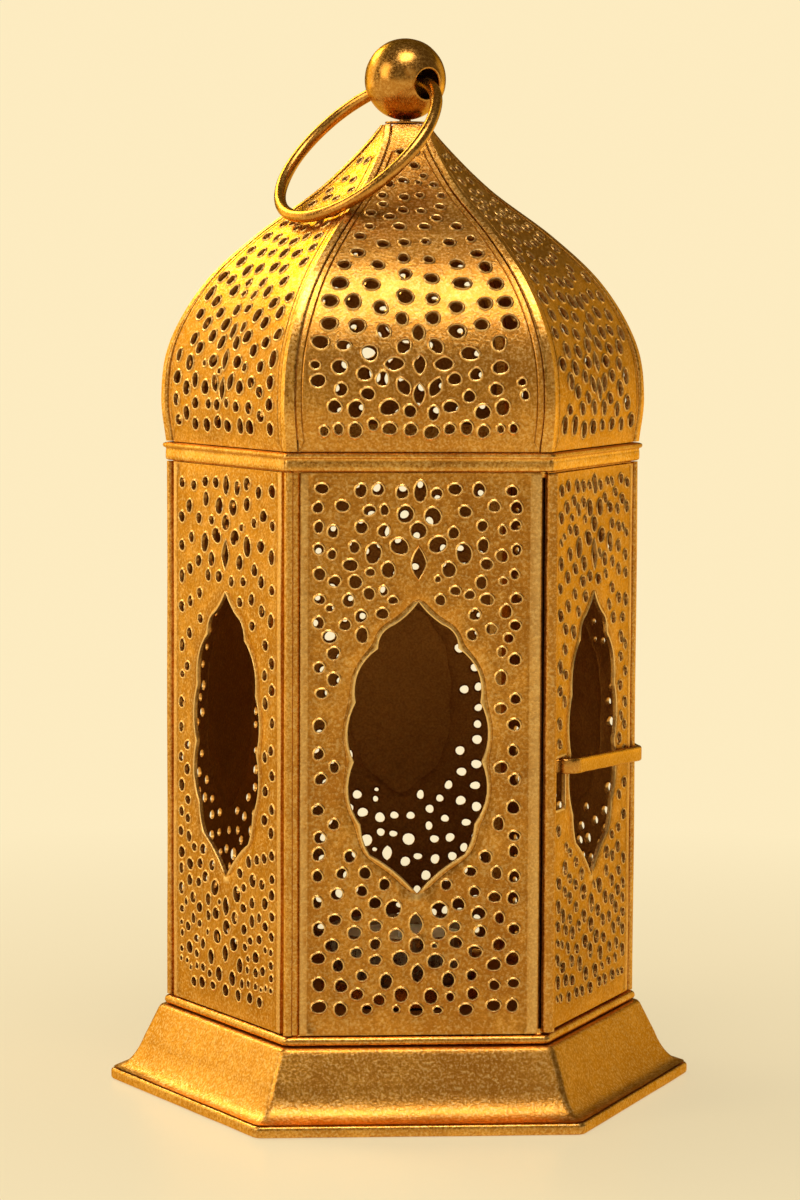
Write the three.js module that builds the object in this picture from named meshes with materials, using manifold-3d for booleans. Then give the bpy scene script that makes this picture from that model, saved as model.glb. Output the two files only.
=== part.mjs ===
// Hexagonal sheet-metal candle lantern: flared base, six pierced walls, a scalloped window in the front wall
// and in each wall beside it, a hinged door with a swinging latch bar, an ogee dome of six gores, and a ball
// finial with a carrying ring.
// Millimetres, +Z up. The origin is the centre of the base's underside, and the front wall faces -Y.

import * as THREE from 'three';
import { mergeVertices } from 'three/addons/utils/BufferGeometryUtils.js';
import Module from 'manifold-3d';

const wasm = await Module();
wasm.setup();

// ---- Driving dimensions -------------------------------------------------------------------------------

const GAP = 0.3;                 // clearance between pieces that rest on each other
const SHEET = 1.0;               // wall sheet thickness

// Plan of the body: front and back walls are parallel to X, and the side corners lie on the X axis.
const HALF_FRONT = 32.5;
const HALF_DEPTH = 57;
const HALF_WIDTH = 61.5;
const BODY_RADIUS = 56;          // mean distance from the axis to a wall, the unit of every ring radius

// Heights.
const RIM_TOP = 3;
const SKIRT_TOP = 19.9;
const SILL_TOP = 22.4;
const WALL_BOTTOM = SILL_TOP + GAP;
const WALL_TOP = 163.2;
const CORNICE_TOP = 168.2;
const DOME_BOTTOM = CORNICE_TOP + GAP;
const DOME_TOP = 250.5;
const COLLAR_TOP = 251.4;
const BALL_RADIUS = 10.6;
const BALL_Z = COLLAR_TOP + GAP + BALL_RADIUS;

// Base.
const RIM_RADIUS = 70.2;
const RIM_WIDTH = 4;
const SKIRT_SHEET = 1.2;
const SKIRT_TOP_RADIUS = 58.3;
const FLARE_TOP = { radius: 62.2, z: 11.5 };
const FLARE_TURN = Math.PI * 0.3;    // how much of a quarter turn the flare's curve makes
const FLOOR_RADIUS = 53.2;
const FLOOR_SHEET = 1.2;
const SILL_RADIUS = 57.2;

// Corner posts.
const POST_LEG = 3;
const POST_PROUD = 0.3;
const POST_DEPTH = 1.8;
const STOP_WIDTH = 4;            // strips behind the door's two upright edges
const JAMB_THICK = 1.5;
const STOP_THICK = 1.3;

// Window, slot and door.
const WINDOWED = ['front', 'door', 'front_left'];
const WINDOW_Z = 95;
const SLOT = { left: 4.4, right: 12, bottom: 78.3, top: 91.3 };
const HINGE = { x: 33.1, y: -55.3 };
const BARREL_RADIUS = 1.7;
const BARREL_BORE = 1.1;
const HINGE_ROD_RADIUS = 0.8;
const HINGE_TO_SHEET = 3;        // where the door's sheet runs into its rolled edge
const GROOVE_START = 62.9;       // where the front wall stops short of the hinge barrel

// Latch bar, in the door's own frame: along the wall, out from it, up.
const LATCH_PIVOT = { along: 13.9, out: -0.5 };
const LATCH_THICK = 1.7;
const LATCH_HEIGHT = 4;
const LATCH_HOOK_RADIUS = 3.3;
const LATCH_STAND_OFF = 1.5;     // bar's middle from the corner that it wraps
const LATCH_HOOK_Z = 88.9;
const LATCH_CORNER_Z = 86;
const LATCH_TAIL = 9;
const LATCH_TAIL_RISE = 3.6;
const LATCH_BEVEL = 0.5;
const LATCH_EASE = { along: 8, in: 0.2, down: 0.4 };    // where the hook straightens into the bar

// Cornice and dome.
const CORNICE_RADIUS = 57.6;
const CORNICE_INNER = 53.5;
const RIB_HALF_BOTTOM = 2.6;
const RIB_HALF_TOP = 1.2;
const RIB_PROUD = 0.5;
const RIB_DEPTH = 1.4;
const DOME_STEPS = 15;

// Finial and ring.
const COLLAR_RADIUS = 5.3;
const BORE_RADIUS = 3.8;
const BORE_Z = BALL_Z - 1.5;
const BORE_AZIMUTH = THREE.MathUtils.degToRad(-57);
const STUD_RADIUS = 1.5;
const STUD_BOTTOM = 243;
const STUD_SHORT = 7;            // how far below the ball's centre the stud ends
const NUT_RADIUS = 3.2;
const NUT_HEIGHT = 2.4;
const RING_RADIUS = 24.6;
const RING_WIRE = 1.6;
const RING_TILT = THREE.MathUtils.degToRad(46);
const RING_SWING = THREE.MathUtils.degToRad(-3);
const RING_DROP = 1.35;          // how far the wire's top sits past the bore's axis

// Candle.
const CUP_RADIUS = 21;
const CUP_HEIGHT = 6;
const CUP_SHEET = 0.8;
const CUP_FLARE = 0.6;
const RIVET_RADIUS = 1.5;
const RIVET_HEAD = 3.2;
const TEALIGHT_RADIUS = 19;
const TEALIGHT_HEIGHT = 16;
const FOIL = 0.4;
const WAX_BELOW_RIM = 2.5;
const WICK_RADIUS = 0.9;
const WICK_SHOWS = 5.5;

// ---- Materials ----------------------------------------------------------------------------------------

function finish(color, roughness, metalness) {
  return () => new THREE.MeshStandardMaterial({ color, roughness, metalness });
}

const goldSheet = finish(0xc79a3c, 0.42, 1);
const goldTrim = finish(0xd2a648, 0.34, 1);
const agedBrass = finish(0xb98a35, 0.28, 1);
const darkSteel = finish(0x6b5a3c, 0.5, 1);
const tealightTin = finish(0xc9cbcc, 0.3, 1);
const wax = finish(0xf3ecd9, 0.6, 0);
const wick = finish(0xe8e2d2, 0.9, 0);

// ---- Plan geometry ------------------------------------------------------------------------------------

const CORNERS = [
  ['front_left', -HALF_FRONT, -HALF_DEPTH],
  ['front_right', HALF_FRONT, -HALF_DEPTH],
  ['right', HALF_WIDTH, 0],
  ['back_right', HALF_FRONT, HALF_DEPTH],
  ['back_left', -HALF_FRONT, HALF_DEPTH],
  ['left', -HALF_WIDTH, 0],
].map(([name, x, y]) => ({ name, point: new THREE.Vector2(x, y) }));

const WALLS = ['front', 'door', 'back_right', 'back', 'back_left', 'front_left'].map((name, i) => {
  const start = CORNERS[i].point;
  const end = CORNERS[(i + 1) % 6].point;
  const along = end.clone().sub(start);
  const length = along.length();
  along.normalize();
  return { name, start, end, along, length, out: new THREE.Vector2(along.y, -along.x) };
});

// A corner of the plan: k scales it along the front wall, s scales its depth and the side corners.
function cornerAt(i, k, s) {
  const p = CORNERS[i].point;
  return p.y === 0 ? new THREE.Vector2(p.x * s, 0) : new THREE.Vector2(p.x * k, p.y * s);
}

// The point of the wall's own frame at a distance along it, out from it and up.
function wallPoint(wall, along, out, z) {
  const p = wall.start.clone().addScaledVector(wall.along, along).addScaledVector(wall.out, out);
  return new THREE.Vector3(p.x, p.y, z);
}

function wallMatrix(wall, out) {
  const origin = wallPoint(wall, 0, out, 0);
  const basis = new THREE.Matrix4().makeBasis(
    new THREE.Vector3(wall.along.x, wall.along.y, 0),
    new THREE.Vector3(0, 0, 1),
    new THREE.Vector3(wall.out.x, wall.out.y, 0),
  );
  return basis.setPosition(origin);
}

// ---- Solid builders -----------------------------------------------------------------------------------

function fromTriangles(points, triangles) {
  const geometry = new THREE.BufferGeometry();
  const positions = points.flatMap((p) => [p.x, p.y, p.z]);
  geometry.setAttribute('position', new THREE.Float32BufferAttribute(positions, 3));
  geometry.setIndex(triangles.flat());
  if (signedVolume(points, triangles) < 0) {
    geometry.setIndex(triangles.flatMap(([a, b, c]) => [a, c, b]));
  }
  return geometry;
}

function signedVolume(points, triangles) {
  const cross = new THREE.Vector3();
  return triangles.reduce((sum, [a, b, c]) => {
    cross.crossVectors(points[b], points[c]);
    return sum + points[a].dot(cross);
  }, 0);
}

// Joins equal rings of points into one body; open ends are closed by a fan from each ring's first point.
function loft(rings, closed) {
  const points = rings.flat();
  const count = rings[0].length;
  const triangles = [];
  const last = closed ? rings.length : rings.length - 1;
  for (let i = 0; i < last; i += 1) {
    const a = i * count;
    const b = ((i + 1) % rings.length) * count;
    for (let j = 0; j < count; j += 1) {
      const n = (j + 1) % count;
      triangles.push([a + j, a + n, b + n], [a + j, b + n, b + j]);
    }
  }
  if (!closed) {
    const end = (rings.length - 1) * count;
    for (let j = 1; j < count - 1; j += 1) {
      triangles.push([0, j + 1, j], [end, end + j, end + j + 1]);
    }
  }
  return fromTriangles(points, triangles);
}

// A closed radius-height outline carried round the six corners of the plan.
function hexRing(outline) {
  return loft(CORNERS.map((corner, i) => outline.map(([radius, z]) => {
    const scale = radius / BODY_RADIUS;
    const p = cornerAt(i, scale, scale);
    return new THREE.Vector3(p.x, p.y, z);
  })), true);
}

function upright(outline, bottom, top) {
  return loft([bottom, top].map((z) => outline.map((p) => new THREE.Vector3(p.x, p.y, z))), false);
}

function lathe(outline, segments) {
  const geometry = new THREE.LatheGeometry(outline.map(([r, z]) => new THREE.Vector2(r, z)), segments);
  return geometry.rotateX(Math.PI / 2);
}

function tube(outer, inner, bottom, top, segments) {
  return lathe([[inner, bottom], [outer, bottom], [outer, top], [inner, top], [inner, bottom]], segments);
}

function rod(radius, bottom, top, segments) {
  const geometry = new THREE.CylinderGeometry(radius, radius, top - bottom, segments);
  return geometry.rotateX(Math.PI / 2).translate(0, 0, (top + bottom) / 2);
}

function toManifold(geometry) {
  const bare = geometry.clone();
  bare.deleteAttribute('normal');
  bare.deleteAttribute('uv');
  const merged = mergeVertices(bare, 1e-4);
  return new wasm.Manifold(new wasm.Mesh({
    numProp: 3,
    vertProperties: new Float32Array(merged.attributes.position.array),
    triVerts: new Uint32Array(merged.index.array),
  }));
}

function fromManifold(solid) {
  const mesh = solid.getMesh();
  const geometry = new THREE.BufferGeometry();
  geometry.setAttribute('position', new THREE.BufferAttribute(new Float32Array(mesh.vertProperties), 3));
  geometry.setIndex(new THREE.BufferAttribute(new Uint32Array(mesh.triVerts), 1));
  return geometry;
}

function subtract(body, ...tools) {
  return fromManifold(tools.reduce((solid, tool) => solid.subtract(toManifold(tool)), toManifold(body)));
}

const group = new THREE.Group();

function add(name, geometry, material, parent = group) {
  const mesh = new THREE.Mesh(geometry, material());
  mesh.name = name;
  parent.add(mesh);
  return mesh;
}

// ---- Base ---------------------------------------------------------------------------------------------

function base() {
  add('base_rim', hexRing([
    [RIM_RADIUS - RIM_WIDTH, 0],
    [RIM_RADIUS - 0.4, 0],
    [RIM_RADIUS, 0.6],
    [RIM_RADIUS, RIM_TOP - 0.6],
    [RIM_RADIUS - 0.6, RIM_TOP],
    [RIM_RADIUS - RIM_WIDTH, RIM_TOP],
  ]), goldTrim);

  // The flare is a quarter of a long ellipse below a straight slope up to the shoulder.
  const foot = RIM_TOP + GAP;
  const footRadius = RIM_RADIUS - 0.6;
  const flareSteps = 4;
  const flare = (offset) => Array.from({ length: flareSteps + 1 }, (_, i) => {
    const angle = (FLARE_TURN * i) / flareSteps;
    const inward = Math.sin(angle) / Math.sin(FLARE_TURN);
    const upward = (1 - Math.cos(angle)) / (1 - Math.cos(FLARE_TURN));
    return [
      footRadius - (footRadius - FLARE_TOP.radius) * inward - offset,
      foot + (FLARE_TOP.z - foot) * upward,
    ];
  });
  const outer = [...flare(0), [SKIRT_TOP_RADIUS + 0.4, SKIRT_TOP - 0.7], [SKIRT_TOP_RADIUS - 0.2, SKIRT_TOP]];
  const ledge = FLOOR_RADIUS - 3.2;
  const inner = [
    [ledge, SKIRT_TOP],
    [ledge, SKIRT_TOP - SKIRT_SHEET],
    [SKIRT_TOP_RADIUS - SKIRT_SHEET, SKIRT_TOP - SKIRT_SHEET],
    ...flare(SKIRT_SHEET + 0.6).reverse(),
  ];
  add('base_skirt', hexRing([...outer, ...inner]), goldSheet);

  const floorBottom = SKIRT_TOP + GAP;
  const floorTop = floorBottom + FLOOR_SHEET;
  const floorScale = FLOOR_RADIUS / BODY_RADIUS;
  const floorOutline = CORNERS.map((corner) => corner.point.clone().multiplyScalar(floorScale));
  const holeRadius = RIVET_RADIUS + GAP;
  const rivetHole = rod(holeRadius, floorBottom - 1, floorTop + 1, 16);
  add('base_floor', subtract(upright(floorOutline, floorBottom, floorTop), rivetHole), goldSheet);

  const sillInner = FLOOR_RADIUS + GAP;
  add('sill_bead', hexRing([
    [sillInner, floorBottom],
    [SILL_RADIUS - 0.5, floorBottom],
    [SILL_RADIUS, floorBottom + 0.7],
    [SILL_RADIUS - 0.1, floorBottom + 1.5],
    [SILL_RADIUS - 0.8, SILL_TOP],
    [sillInner, SILL_TOP],
  ]), goldTrim);

  const cupBottom = floorTop + GAP;
  const cupLip = CUP_RADIUS + CUP_FLARE;
  add('candle_cup', lathe([
    [holeRadius, cupBottom],
    [CUP_RADIUS - CUP_SHEET, cupBottom],
    [CUP_RADIUS, cupBottom + CUP_SHEET],
    [cupLip, cupBottom + CUP_HEIGHT],
    [cupLip - CUP_SHEET, cupBottom + CUP_HEIGHT],
    [CUP_RADIUS - 0.9, cupBottom + CUP_SHEET],
    [holeRadius, cupBottom + CUP_SHEET],
    [holeRadius, cupBottom],
  ], 32), agedBrass);
  const rivetTop = cupBottom + CUP_SHEET + GAP;
  const headHeight = 1;
  add('cup_rivet', lathe([
    [0, floorBottom - GAP - headHeight],
    [RIVET_HEAD - 0.2, floorBottom - GAP - headHeight],
    [RIVET_HEAD + 0.2, floorBottom - GAP],
    [RIVET_RADIUS, floorBottom - GAP],
    [RIVET_RADIUS, rivetTop],
    [RIVET_HEAD, rivetTop],
    [RIVET_HEAD - 0.8, rivetTop + headHeight - 0.2],
    [0, rivetTop + headHeight],
  ], 20), agedBrass);
  return rivetTop + headHeight + GAP;
}

// ---- Tealight -----------------------------------------------------------------------------------------

function tealight(bottom) {
  const rim = bottom + TEALIGHT_HEIGHT;
  const waxRadius = TEALIGHT_RADIUS - 1.1;
  const waxBottom = bottom + FOIL + GAP;
  const waxTop = rim - WAX_BELOW_RIM;
  add('tealight_case', lathe([
    [0, bottom],
    [TEALIGHT_RADIUS - 0.8, bottom],
    [TEALIGHT_RADIUS - 0.3, bottom + 0.6],
    [TEALIGHT_RADIUS - 0.1, rim - 0.6],
    [TEALIGHT_RADIUS + 0.4, rim - 0.4],
    [TEALIGHT_RADIUS + 0.4, rim],
    [TEALIGHT_RADIUS - 0.5, rim],
    [TEALIGHT_RADIUS - 0.7, bottom + FOIL],
    [0, bottom + FOIL],
  ], 36), tealightTin);
  add('tealight_wax', lathe([
    [WICK_RADIUS + GAP, waxBottom],
    [waxRadius, waxBottom],
    [waxRadius, waxTop],
    [waxRadius - 1.4, waxTop - 0.5],
    [WICK_RADIUS + GAP, waxTop - 0.5],
    [WICK_RADIUS + GAP, waxBottom],
  ], 36), wax);
  add('tealight_wick', lathe([
    [0, waxBottom],
    [WICK_RADIUS, waxBottom],
    [WICK_RADIUS, waxTop + WICK_SHOWS - 1.5],
    [WICK_RADIUS * 0.6, waxTop + WICK_SHOWS],
    [0, waxTop + WICK_SHOWS],
  ], 10), wick);
}

// ---- Walls --------------------------------------------------------------------------------------------

// The right half of the scalloped window from its top tip to its bottom tip, relative to its centre:
// each stretch is an arc to the next cusp, bulging out by the given amount.
const WINDOW_ARCS = [
  { from: [0, 36.3], bulge: -0.4 },
  { from: [6, 30.6], bulge: 1.2 },
  { from: [10, 24.7], bulge: 2.3 },
  { from: [15.5, 11.3], bulge: 1.8 },
  { from: [15.9, -3.5], bulge: 2.2 },
  { from: [14.2, -19.2], bulge: 0.5 },
  { from: [11.8, -26.8], bulge: -0.8 },
  { from: [0, -36.7], bulge: 0 },
];
const ARC_STEPS = 4;

function windowPath(centre) {
  const right = [];
  for (let i = 0; i < WINDOW_ARCS.length - 1; i += 1) {
    const a = new THREE.Vector2(...WINDOW_ARCS[i].from);
    const b = new THREE.Vector2(...WINDOW_ARCS[i + 1].from);
    const chord = b.clone().sub(a);
    const outward = new THREE.Vector2(-chord.y, chord.x).normalize();
    for (let j = 0; j < ARC_STEPS; j += 1) {
      const t = j / ARC_STEPS;
      const lift = WINDOW_ARCS[i].bulge * 4 * t * (1 - t);
      right.push(a.clone().addScaledVector(chord, t).addScaledVector(outward, lift));
    }
  }
  right.push(new THREE.Vector2(...WINDOW_ARCS.at(-1).from));
  const left = right.slice(1, -1).reverse().map((p) => new THREE.Vector2(-p.x, p.y));
  return new THREE.Path([...right, ...left].map((p) => p.add(new THREE.Vector2(centre, WINDOW_Z))));
}

function rectangle(left, right, bottom, top) {
  const corners = [[left, bottom], [right, bottom], [right, top], [left, top]];
  return corners.map(([x, y]) => new THREE.Vector2(x, y));
}

function wallSheet(wall, left, right, bottom, top, cuts) {
  const shape = new THREE.Shape(rectangle(left, right, bottom, top));
  shape.holes.push(...cuts);
  const geometry = new THREE.ExtrudeGeometry(shape, { depth: SHEET, bevelEnabled: false, steps: 1 });
  return geometry.applyMatrix4(wallMatrix(wall, -SHEET));
}

// The strip that covers the seam between two walls: an L in plan, a little proud of both.
function cornerPost(i) {
  const before = WALLS[(i + 5) % 6];
  const after = WALLS[i];
  const corner = CORNERS[i].point;
  const halfTurn = before.out.angleTo(after.out) / 2;
  const bisector = before.out.clone().add(after.out).normalize();
  const mitre = (offset) => corner.clone().addScaledVector(bisector, offset / Math.cos(halfTurn));
  const leg = (direction, sign, out, offset) => corner.clone()
    .addScaledVector(direction, sign * POST_LEG)
    .addScaledVector(out, offset);
  return upright([
    mitre(POST_PROUD),
    leg(after.along, 1, after.out, POST_PROUD),
    leg(after.along, 1, after.out, -POST_DEPTH),
    mitre(-POST_DEPTH),
    leg(before.along, -1, before.out, -POST_DEPTH),
    leg(before.along, -1, before.out, POST_PROUD),
  ], WALL_BOTTOM, WALL_TOP);
}

// The outline of a strip on the inside of a wall, between two distances along it.
function innerStrip(wall, from, to, thick) {
  const face = -SHEET - GAP;
  return [[from, face], [to, face], [to, face - thick], [from, face - thick]]
    .map(([along, out]) => wallPoint(wall, along, out, 0));
}

function walls() {
  const inset = POST_LEG + GAP;
  for (const wall of WALLS) {
    if (wall.name === 'door') continue;
    const right = wall.name === 'front' ? GROOVE_START : wall.length - inset;
    const cuts = WINDOWED.includes(wall.name) ? [windowPath(wall.length / 2)] : [];
    add(`panel_${wall.name}`, wallSheet(wall, inset, right, WALL_BOTTOM, WALL_TOP, cuts), goldSheet);
  }
  CORNERS.forEach((corner, i) => {
    if (corner.name !== 'front_right') add(`post_${corner.name}`, cornerPost(i), goldTrim);
  });

  const front = WALLS[0];
  const jambEnd = GROOVE_START + 0.4;
  const jamb = innerStrip(front, jambEnd - STOP_WIDTH - 0.4, jambEnd, JAMB_THICK);
  add('hinge_jamb', upright(jamb, WALL_BOTTOM, WALL_TOP), darkSteel);

  const doorWall = WALLS[1];
  const stopEnd = doorWall.length - inset - GAP;
  const stop = innerStrip(doorWall, stopEnd - STOP_WIDTH, stopEnd, STOP_THICK);
  add('door_stop', upright(stop, WALL_BOTTOM, WALL_TOP), darkSteel);

  const pin = rod(HINGE_ROD_RADIUS, WALL_BOTTOM, WALL_TOP, 16).translate(HINGE.x, HINGE.y, 0);
  add('hinge_rod', pin, darkSteel);
}

// ---- Door and latch -----------------------------------------------------------------------------------

function door() {
  const wall = WALLS[1];
  const bottom = WALL_BOTTOM + GAP;
  const top = WALL_TOP - GAP;
  const slot = new THREE.Path(rectangle(SLOT.left, SLOT.right, SLOT.bottom, SLOT.top).reverse());
  const far = wall.length - POST_LEG - GAP;
  const cuts = [windowPath(wall.length / 2), slot];
  const sheet = wallSheet(wall, HINGE_TO_SHEET, far, bottom, top, cuts);
  const barrel = rod(BARREL_RADIUS, bottom, top, 20).translate(HINGE.x, HINGE.y, 0);
  const bore = rod(BARREL_BORE, bottom - 1, top + 1, 16).translate(HINGE.x, HINGE.y, 0);
  const solid = toManifold(sheet).add(toManifold(barrel)).subtract(toManifold(bore));
  add('door_panel', fromManifold(solid), goldSheet);
}

function latch() {
  const wall = WALLS[1];
  const next = WALLS[2];
  const turn = wall.out.angleTo(next.out);
  const path = [];
  const push = (along, out, z) => path.push(new THREE.Vector3(along, out, z));

  // The hook runs behind the strip between slot and window, through the slot, and out to the front.
  const hookSteps = 10;
  for (let i = 0; i <= hookSteps; i += 1) {
    const angle = -Math.PI / 2 - (Math.PI * i) / hookSteps;
    push(
      LATCH_PIVOT.along + LATCH_HOOK_RADIUS * Math.cos(angle),
      LATCH_PIVOT.out + LATCH_HOOK_RADIUS * Math.sin(angle),
      LATCH_HOOK_Z,
    );
  }
  push(
    LATCH_PIVOT.along + LATCH_EASE.along,
    LATCH_PIVOT.out + LATCH_HOOK_RADIUS - LATCH_EASE.in,
    LATCH_HOOK_Z - LATCH_EASE.down,
  );

  // Then it follows the wall and bends round the corner behind the door's free edge.
  const bendSteps = 5;
  for (let i = 0; i <= bendSteps; i += 1) {
    const angle = (turn * i) / bendSteps;
    push(
      wall.length + LATCH_STAND_OFF * Math.sin(angle),
      LATCH_STAND_OFF * Math.cos(angle),
      LATCH_CORNER_Z,
    );
  }
  const end = path.at(-1);
  for (const t of [0.5, 1]) {
    push(
      end.x + LATCH_TAIL * t * Math.cos(turn),
      end.y - LATCH_TAIL * t * Math.sin(turn),
      LATCH_CORNER_Z + LATCH_TAIL_RISE * t * t,
    );
  }

  const half = LATCH_THICK / 2;
  const tall = LATCH_HEIGHT / 2;
  const flat = half - LATCH_BEVEL;
  const side = tall - LATCH_BEVEL;
  const section = [[half, -side], [half, side], [flat, tall], [-flat, tall],
    [-half, side], [-half, -side], [-flat, -tall], [flat, -tall]];
  const rings = path.map((p, i) => {
    const ahead = path[Math.min(i + 1, path.length - 1)];
    const behind = path[Math.max(i - 1, 0)];
    const normal = new THREE.Vector2(ahead.y - behind.y, behind.x - ahead.x).normalize();
    return section.map(([across, up]) => (
      wallPoint(wall, p.x + normal.x * across, p.y + normal.y * across, p.z + up)
    ));
  });
  add('latch_bar', loft(rings, false), agedBrass);
}

// ---- Cornice and dome ---------------------------------------------------------------------------------

// Scales of the plan up the dome: along the front wall, in depth, and the height.
const DOME_CURVE = new THREE.CatmullRomCurve3([
  [1, 1, DOME_BOTTOM],
  [1.02, 1.02, 180],
  [0.985, 0.985, 194],
  [0.83, 0.83, 210],
  [0.62, 0.62, 222],
  [0.36, 0.355, 234],
  [0.185, 0.155, 246],
  [0.155, 0.095, DOME_TOP],
].map(([k, s, z]) => new THREE.Vector3(k, s, z)));

function domeLevels() {
  const levels = Array.from({ length: DOME_STEPS + 1 }, (_, i) => DOME_CURVE.getPoint(i / DOME_STEPS));
  return levels.map((p, i) => ({
    k: p.x,
    s: p.y,
    z: p.z,
    ribHalf: THREE.MathUtils.lerp(RIB_HALF_BOTTOM, RIB_HALF_TOP, i / DOME_STEPS),
  }));
}

function gore(i, levels) {
  const frames = levels.map((level) => {
    const a = cornerAt(i, level.k, level.s);
    const b = cornerAt((i + 1) % 6, level.k, level.s);
    const along = b.clone().sub(a).normalize();
    const out = new THREE.Vector2(along.y, -along.x);
    const inset = level.ribHalf + GAP;
    const left = a.clone().addScaledVector(along, inset);
    const right = b.clone().addScaledVector(along, -inset);
    return { left, right, out, reach: left.dot(out), z: level.z };
  });
  return loft(frames.map((frame, j) => {
    const above = frames[Math.min(j + 1, frames.length - 1)];
    const below = frames[Math.max(j - 1, 0)];
    const rise = new THREE.Vector2(above.z - below.z, below.reach - above.reach).normalize();
    const atEnd = j === 0 || j === frames.length - 1;
    const shift = frame.out.clone().multiplyScalar(-SHEET * (atEnd ? 1 : rise.x));
    const drop = atEnd ? 0 : -SHEET * rise.y;
    const outer = [frame.left, frame.right].map((p) => new THREE.Vector3(p.x, p.y, frame.z));
    const inner = [frame.right, frame.left].map((p) => (
      new THREE.Vector3(p.x + shift.x, p.y + shift.y, frame.z + drop)
    ));
    return [...outer, ...inner];
  }), false);
}

// The strip over a seam between two gores: a shallow V in plan at every height.
function domeRib(i, levels) {
  return loft(levels.map((level) => {
    const corner = cornerAt(i, level.k, level.s);
    const before = cornerAt((i + 5) % 6, level.k, level.s).sub(corner).normalize();
    const after = cornerAt((i + 1) % 6, level.k, level.s).sub(corner).normalize();
    const outBefore = new THREE.Vector2(-before.y, before.x);
    const outAfter = new THREE.Vector2(after.y, -after.x);
    const bisector = outBefore.clone().add(outAfter).normalize();
    const mitre = (offset) => corner.clone().addScaledVector(bisector, offset / bisector.dot(outAfter));
    const end = (direction, out, offset) => corner.clone()
      .addScaledVector(direction, level.ribHalf)
      .addScaledVector(out, offset);
    return [
      mitre(RIB_PROUD),
      end(after, outAfter, RIB_PROUD),
      end(after, outAfter, -RIB_DEPTH),
      mitre(-RIB_DEPTH),
      end(before, outBefore, -RIB_DEPTH),
      end(before, outBefore, RIB_PROUD),
    ].map((p) => new THREE.Vector3(p.x, p.y, level.z));
  }), false);
}

function roof() {
  const corniceBottom = WALL_TOP + GAP;
  add('cornice', hexRing([
    [CORNICE_INNER, corniceBottom],
    [CORNICE_RADIUS - 1.2, corniceBottom],
    [CORNICE_RADIUS - 0.3, corniceBottom + 1],
    [CORNICE_RADIUS, corniceBottom + 2.4],
    [CORNICE_RADIUS - 0.3, corniceBottom + 3.7],
    [CORNICE_RADIUS - 1.3, CORNICE_TOP],
    [CORNICE_INNER, CORNICE_TOP],
  ]), goldTrim);
  const levels = domeLevels();
  WALLS.forEach((wall, i) => {
    const name = wall.name === 'door' ? 'front_right' : wall.name;
    add(`dome_gore_${name}`, gore(i, levels), goldSheet);
  });
  CORNERS.forEach((corner, i) => add(`dome_rib_${corner.name}`, domeRib(i, levels), goldTrim));
}

// ---- Finial and carrying ring -------------------------------------------------------------------------

function finial() {
  const collarBottom = DOME_TOP + GAP;
  add('neck_collar', tube(COLLAR_RADIUS, STUD_RADIUS + GAP, collarBottom, COLLAR_TOP, 24), agedBrass);

  const studTop = BALL_Z - STUD_SHORT;
  add('finial_stud', rod(STUD_RADIUS, STUD_BOTTOM, studTop, 16), darkSteel);
  const nutTop = collarBottom - GAP;
  const nut = rod(NUT_RADIUS, nutTop - NUT_HEIGHT, nutTop, 6);
  add('finial_nut', subtract(nut, rod(STUD_RADIUS + GAP, nutTop - 4, nutTop + 1, 16)), darkSteel);

  const sphere = new THREE.SphereGeometry(BALL_RADIUS, 36, 22).rotateX(Math.PI / 2).translate(0, 0, BALL_Z);
  const bore = rod(BORE_RADIUS, -20, 20, 24)
    .rotateY(Math.PI / 2)
    .rotateZ(BORE_AZIMUTH)
    .translate(0, 0, BORE_Z);
  const socket = rod(STUD_RADIUS + GAP, BALL_Z - BALL_RADIUS - 1, studTop + GAP, 16);
  add('finial_ball', subtract(sphere, bore, socket), agedBrass);
}

function ring() {
  const axis = new THREE.Vector3(Math.cos(BORE_AZIMUTH), Math.sin(BORE_AZIMUTH), 0);
  const level = new THREE.Vector3(axis.y, -axis.x, 0);
  const down = level.multiplyScalar(Math.cos(RING_TILT)).setZ(-Math.sin(RING_TILT));
  const normal = new THREE.Vector3().crossVectors(axis, down);
  const across = axis.clone().applyAxisAngle(normal, RING_SWING);
  const hang = down.clone().applyAxisAngle(normal, RING_SWING);
  const torus = new THREE.TorusGeometry(RING_RADIUS, RING_WIRE, 10, 60);
  const frame = new THREE.Matrix4().makeBasis(across, hang, normal);
  const centre = hang.clone().multiplyScalar(RING_RADIUS - RING_DROP);
  frame.setPosition(centre.x, centre.y, centre.z + BORE_Z);
  add('ring_handle', torus.applyMatrix4(frame), agedBrass);
}

const candleBottom = base();
tealight(candleBottom);
walls();
door();
latch();
roof();
finial();
ring();

export default group;
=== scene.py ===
# Looks of the candle lantern: a hexagonal pierced sheet-metal body with scalloped windows, an ogee dome,
# a hinged door with a swinging latch bar, a bored ball finial and a carrying ring.
# Shapes are worked out in millimetres and handed to Blender in metres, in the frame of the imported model.
import math

import bpy
import numpy as np
from mathutils import Matrix, Vector
from mathutils.geometry import delaunay_2d_cdt


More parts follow.
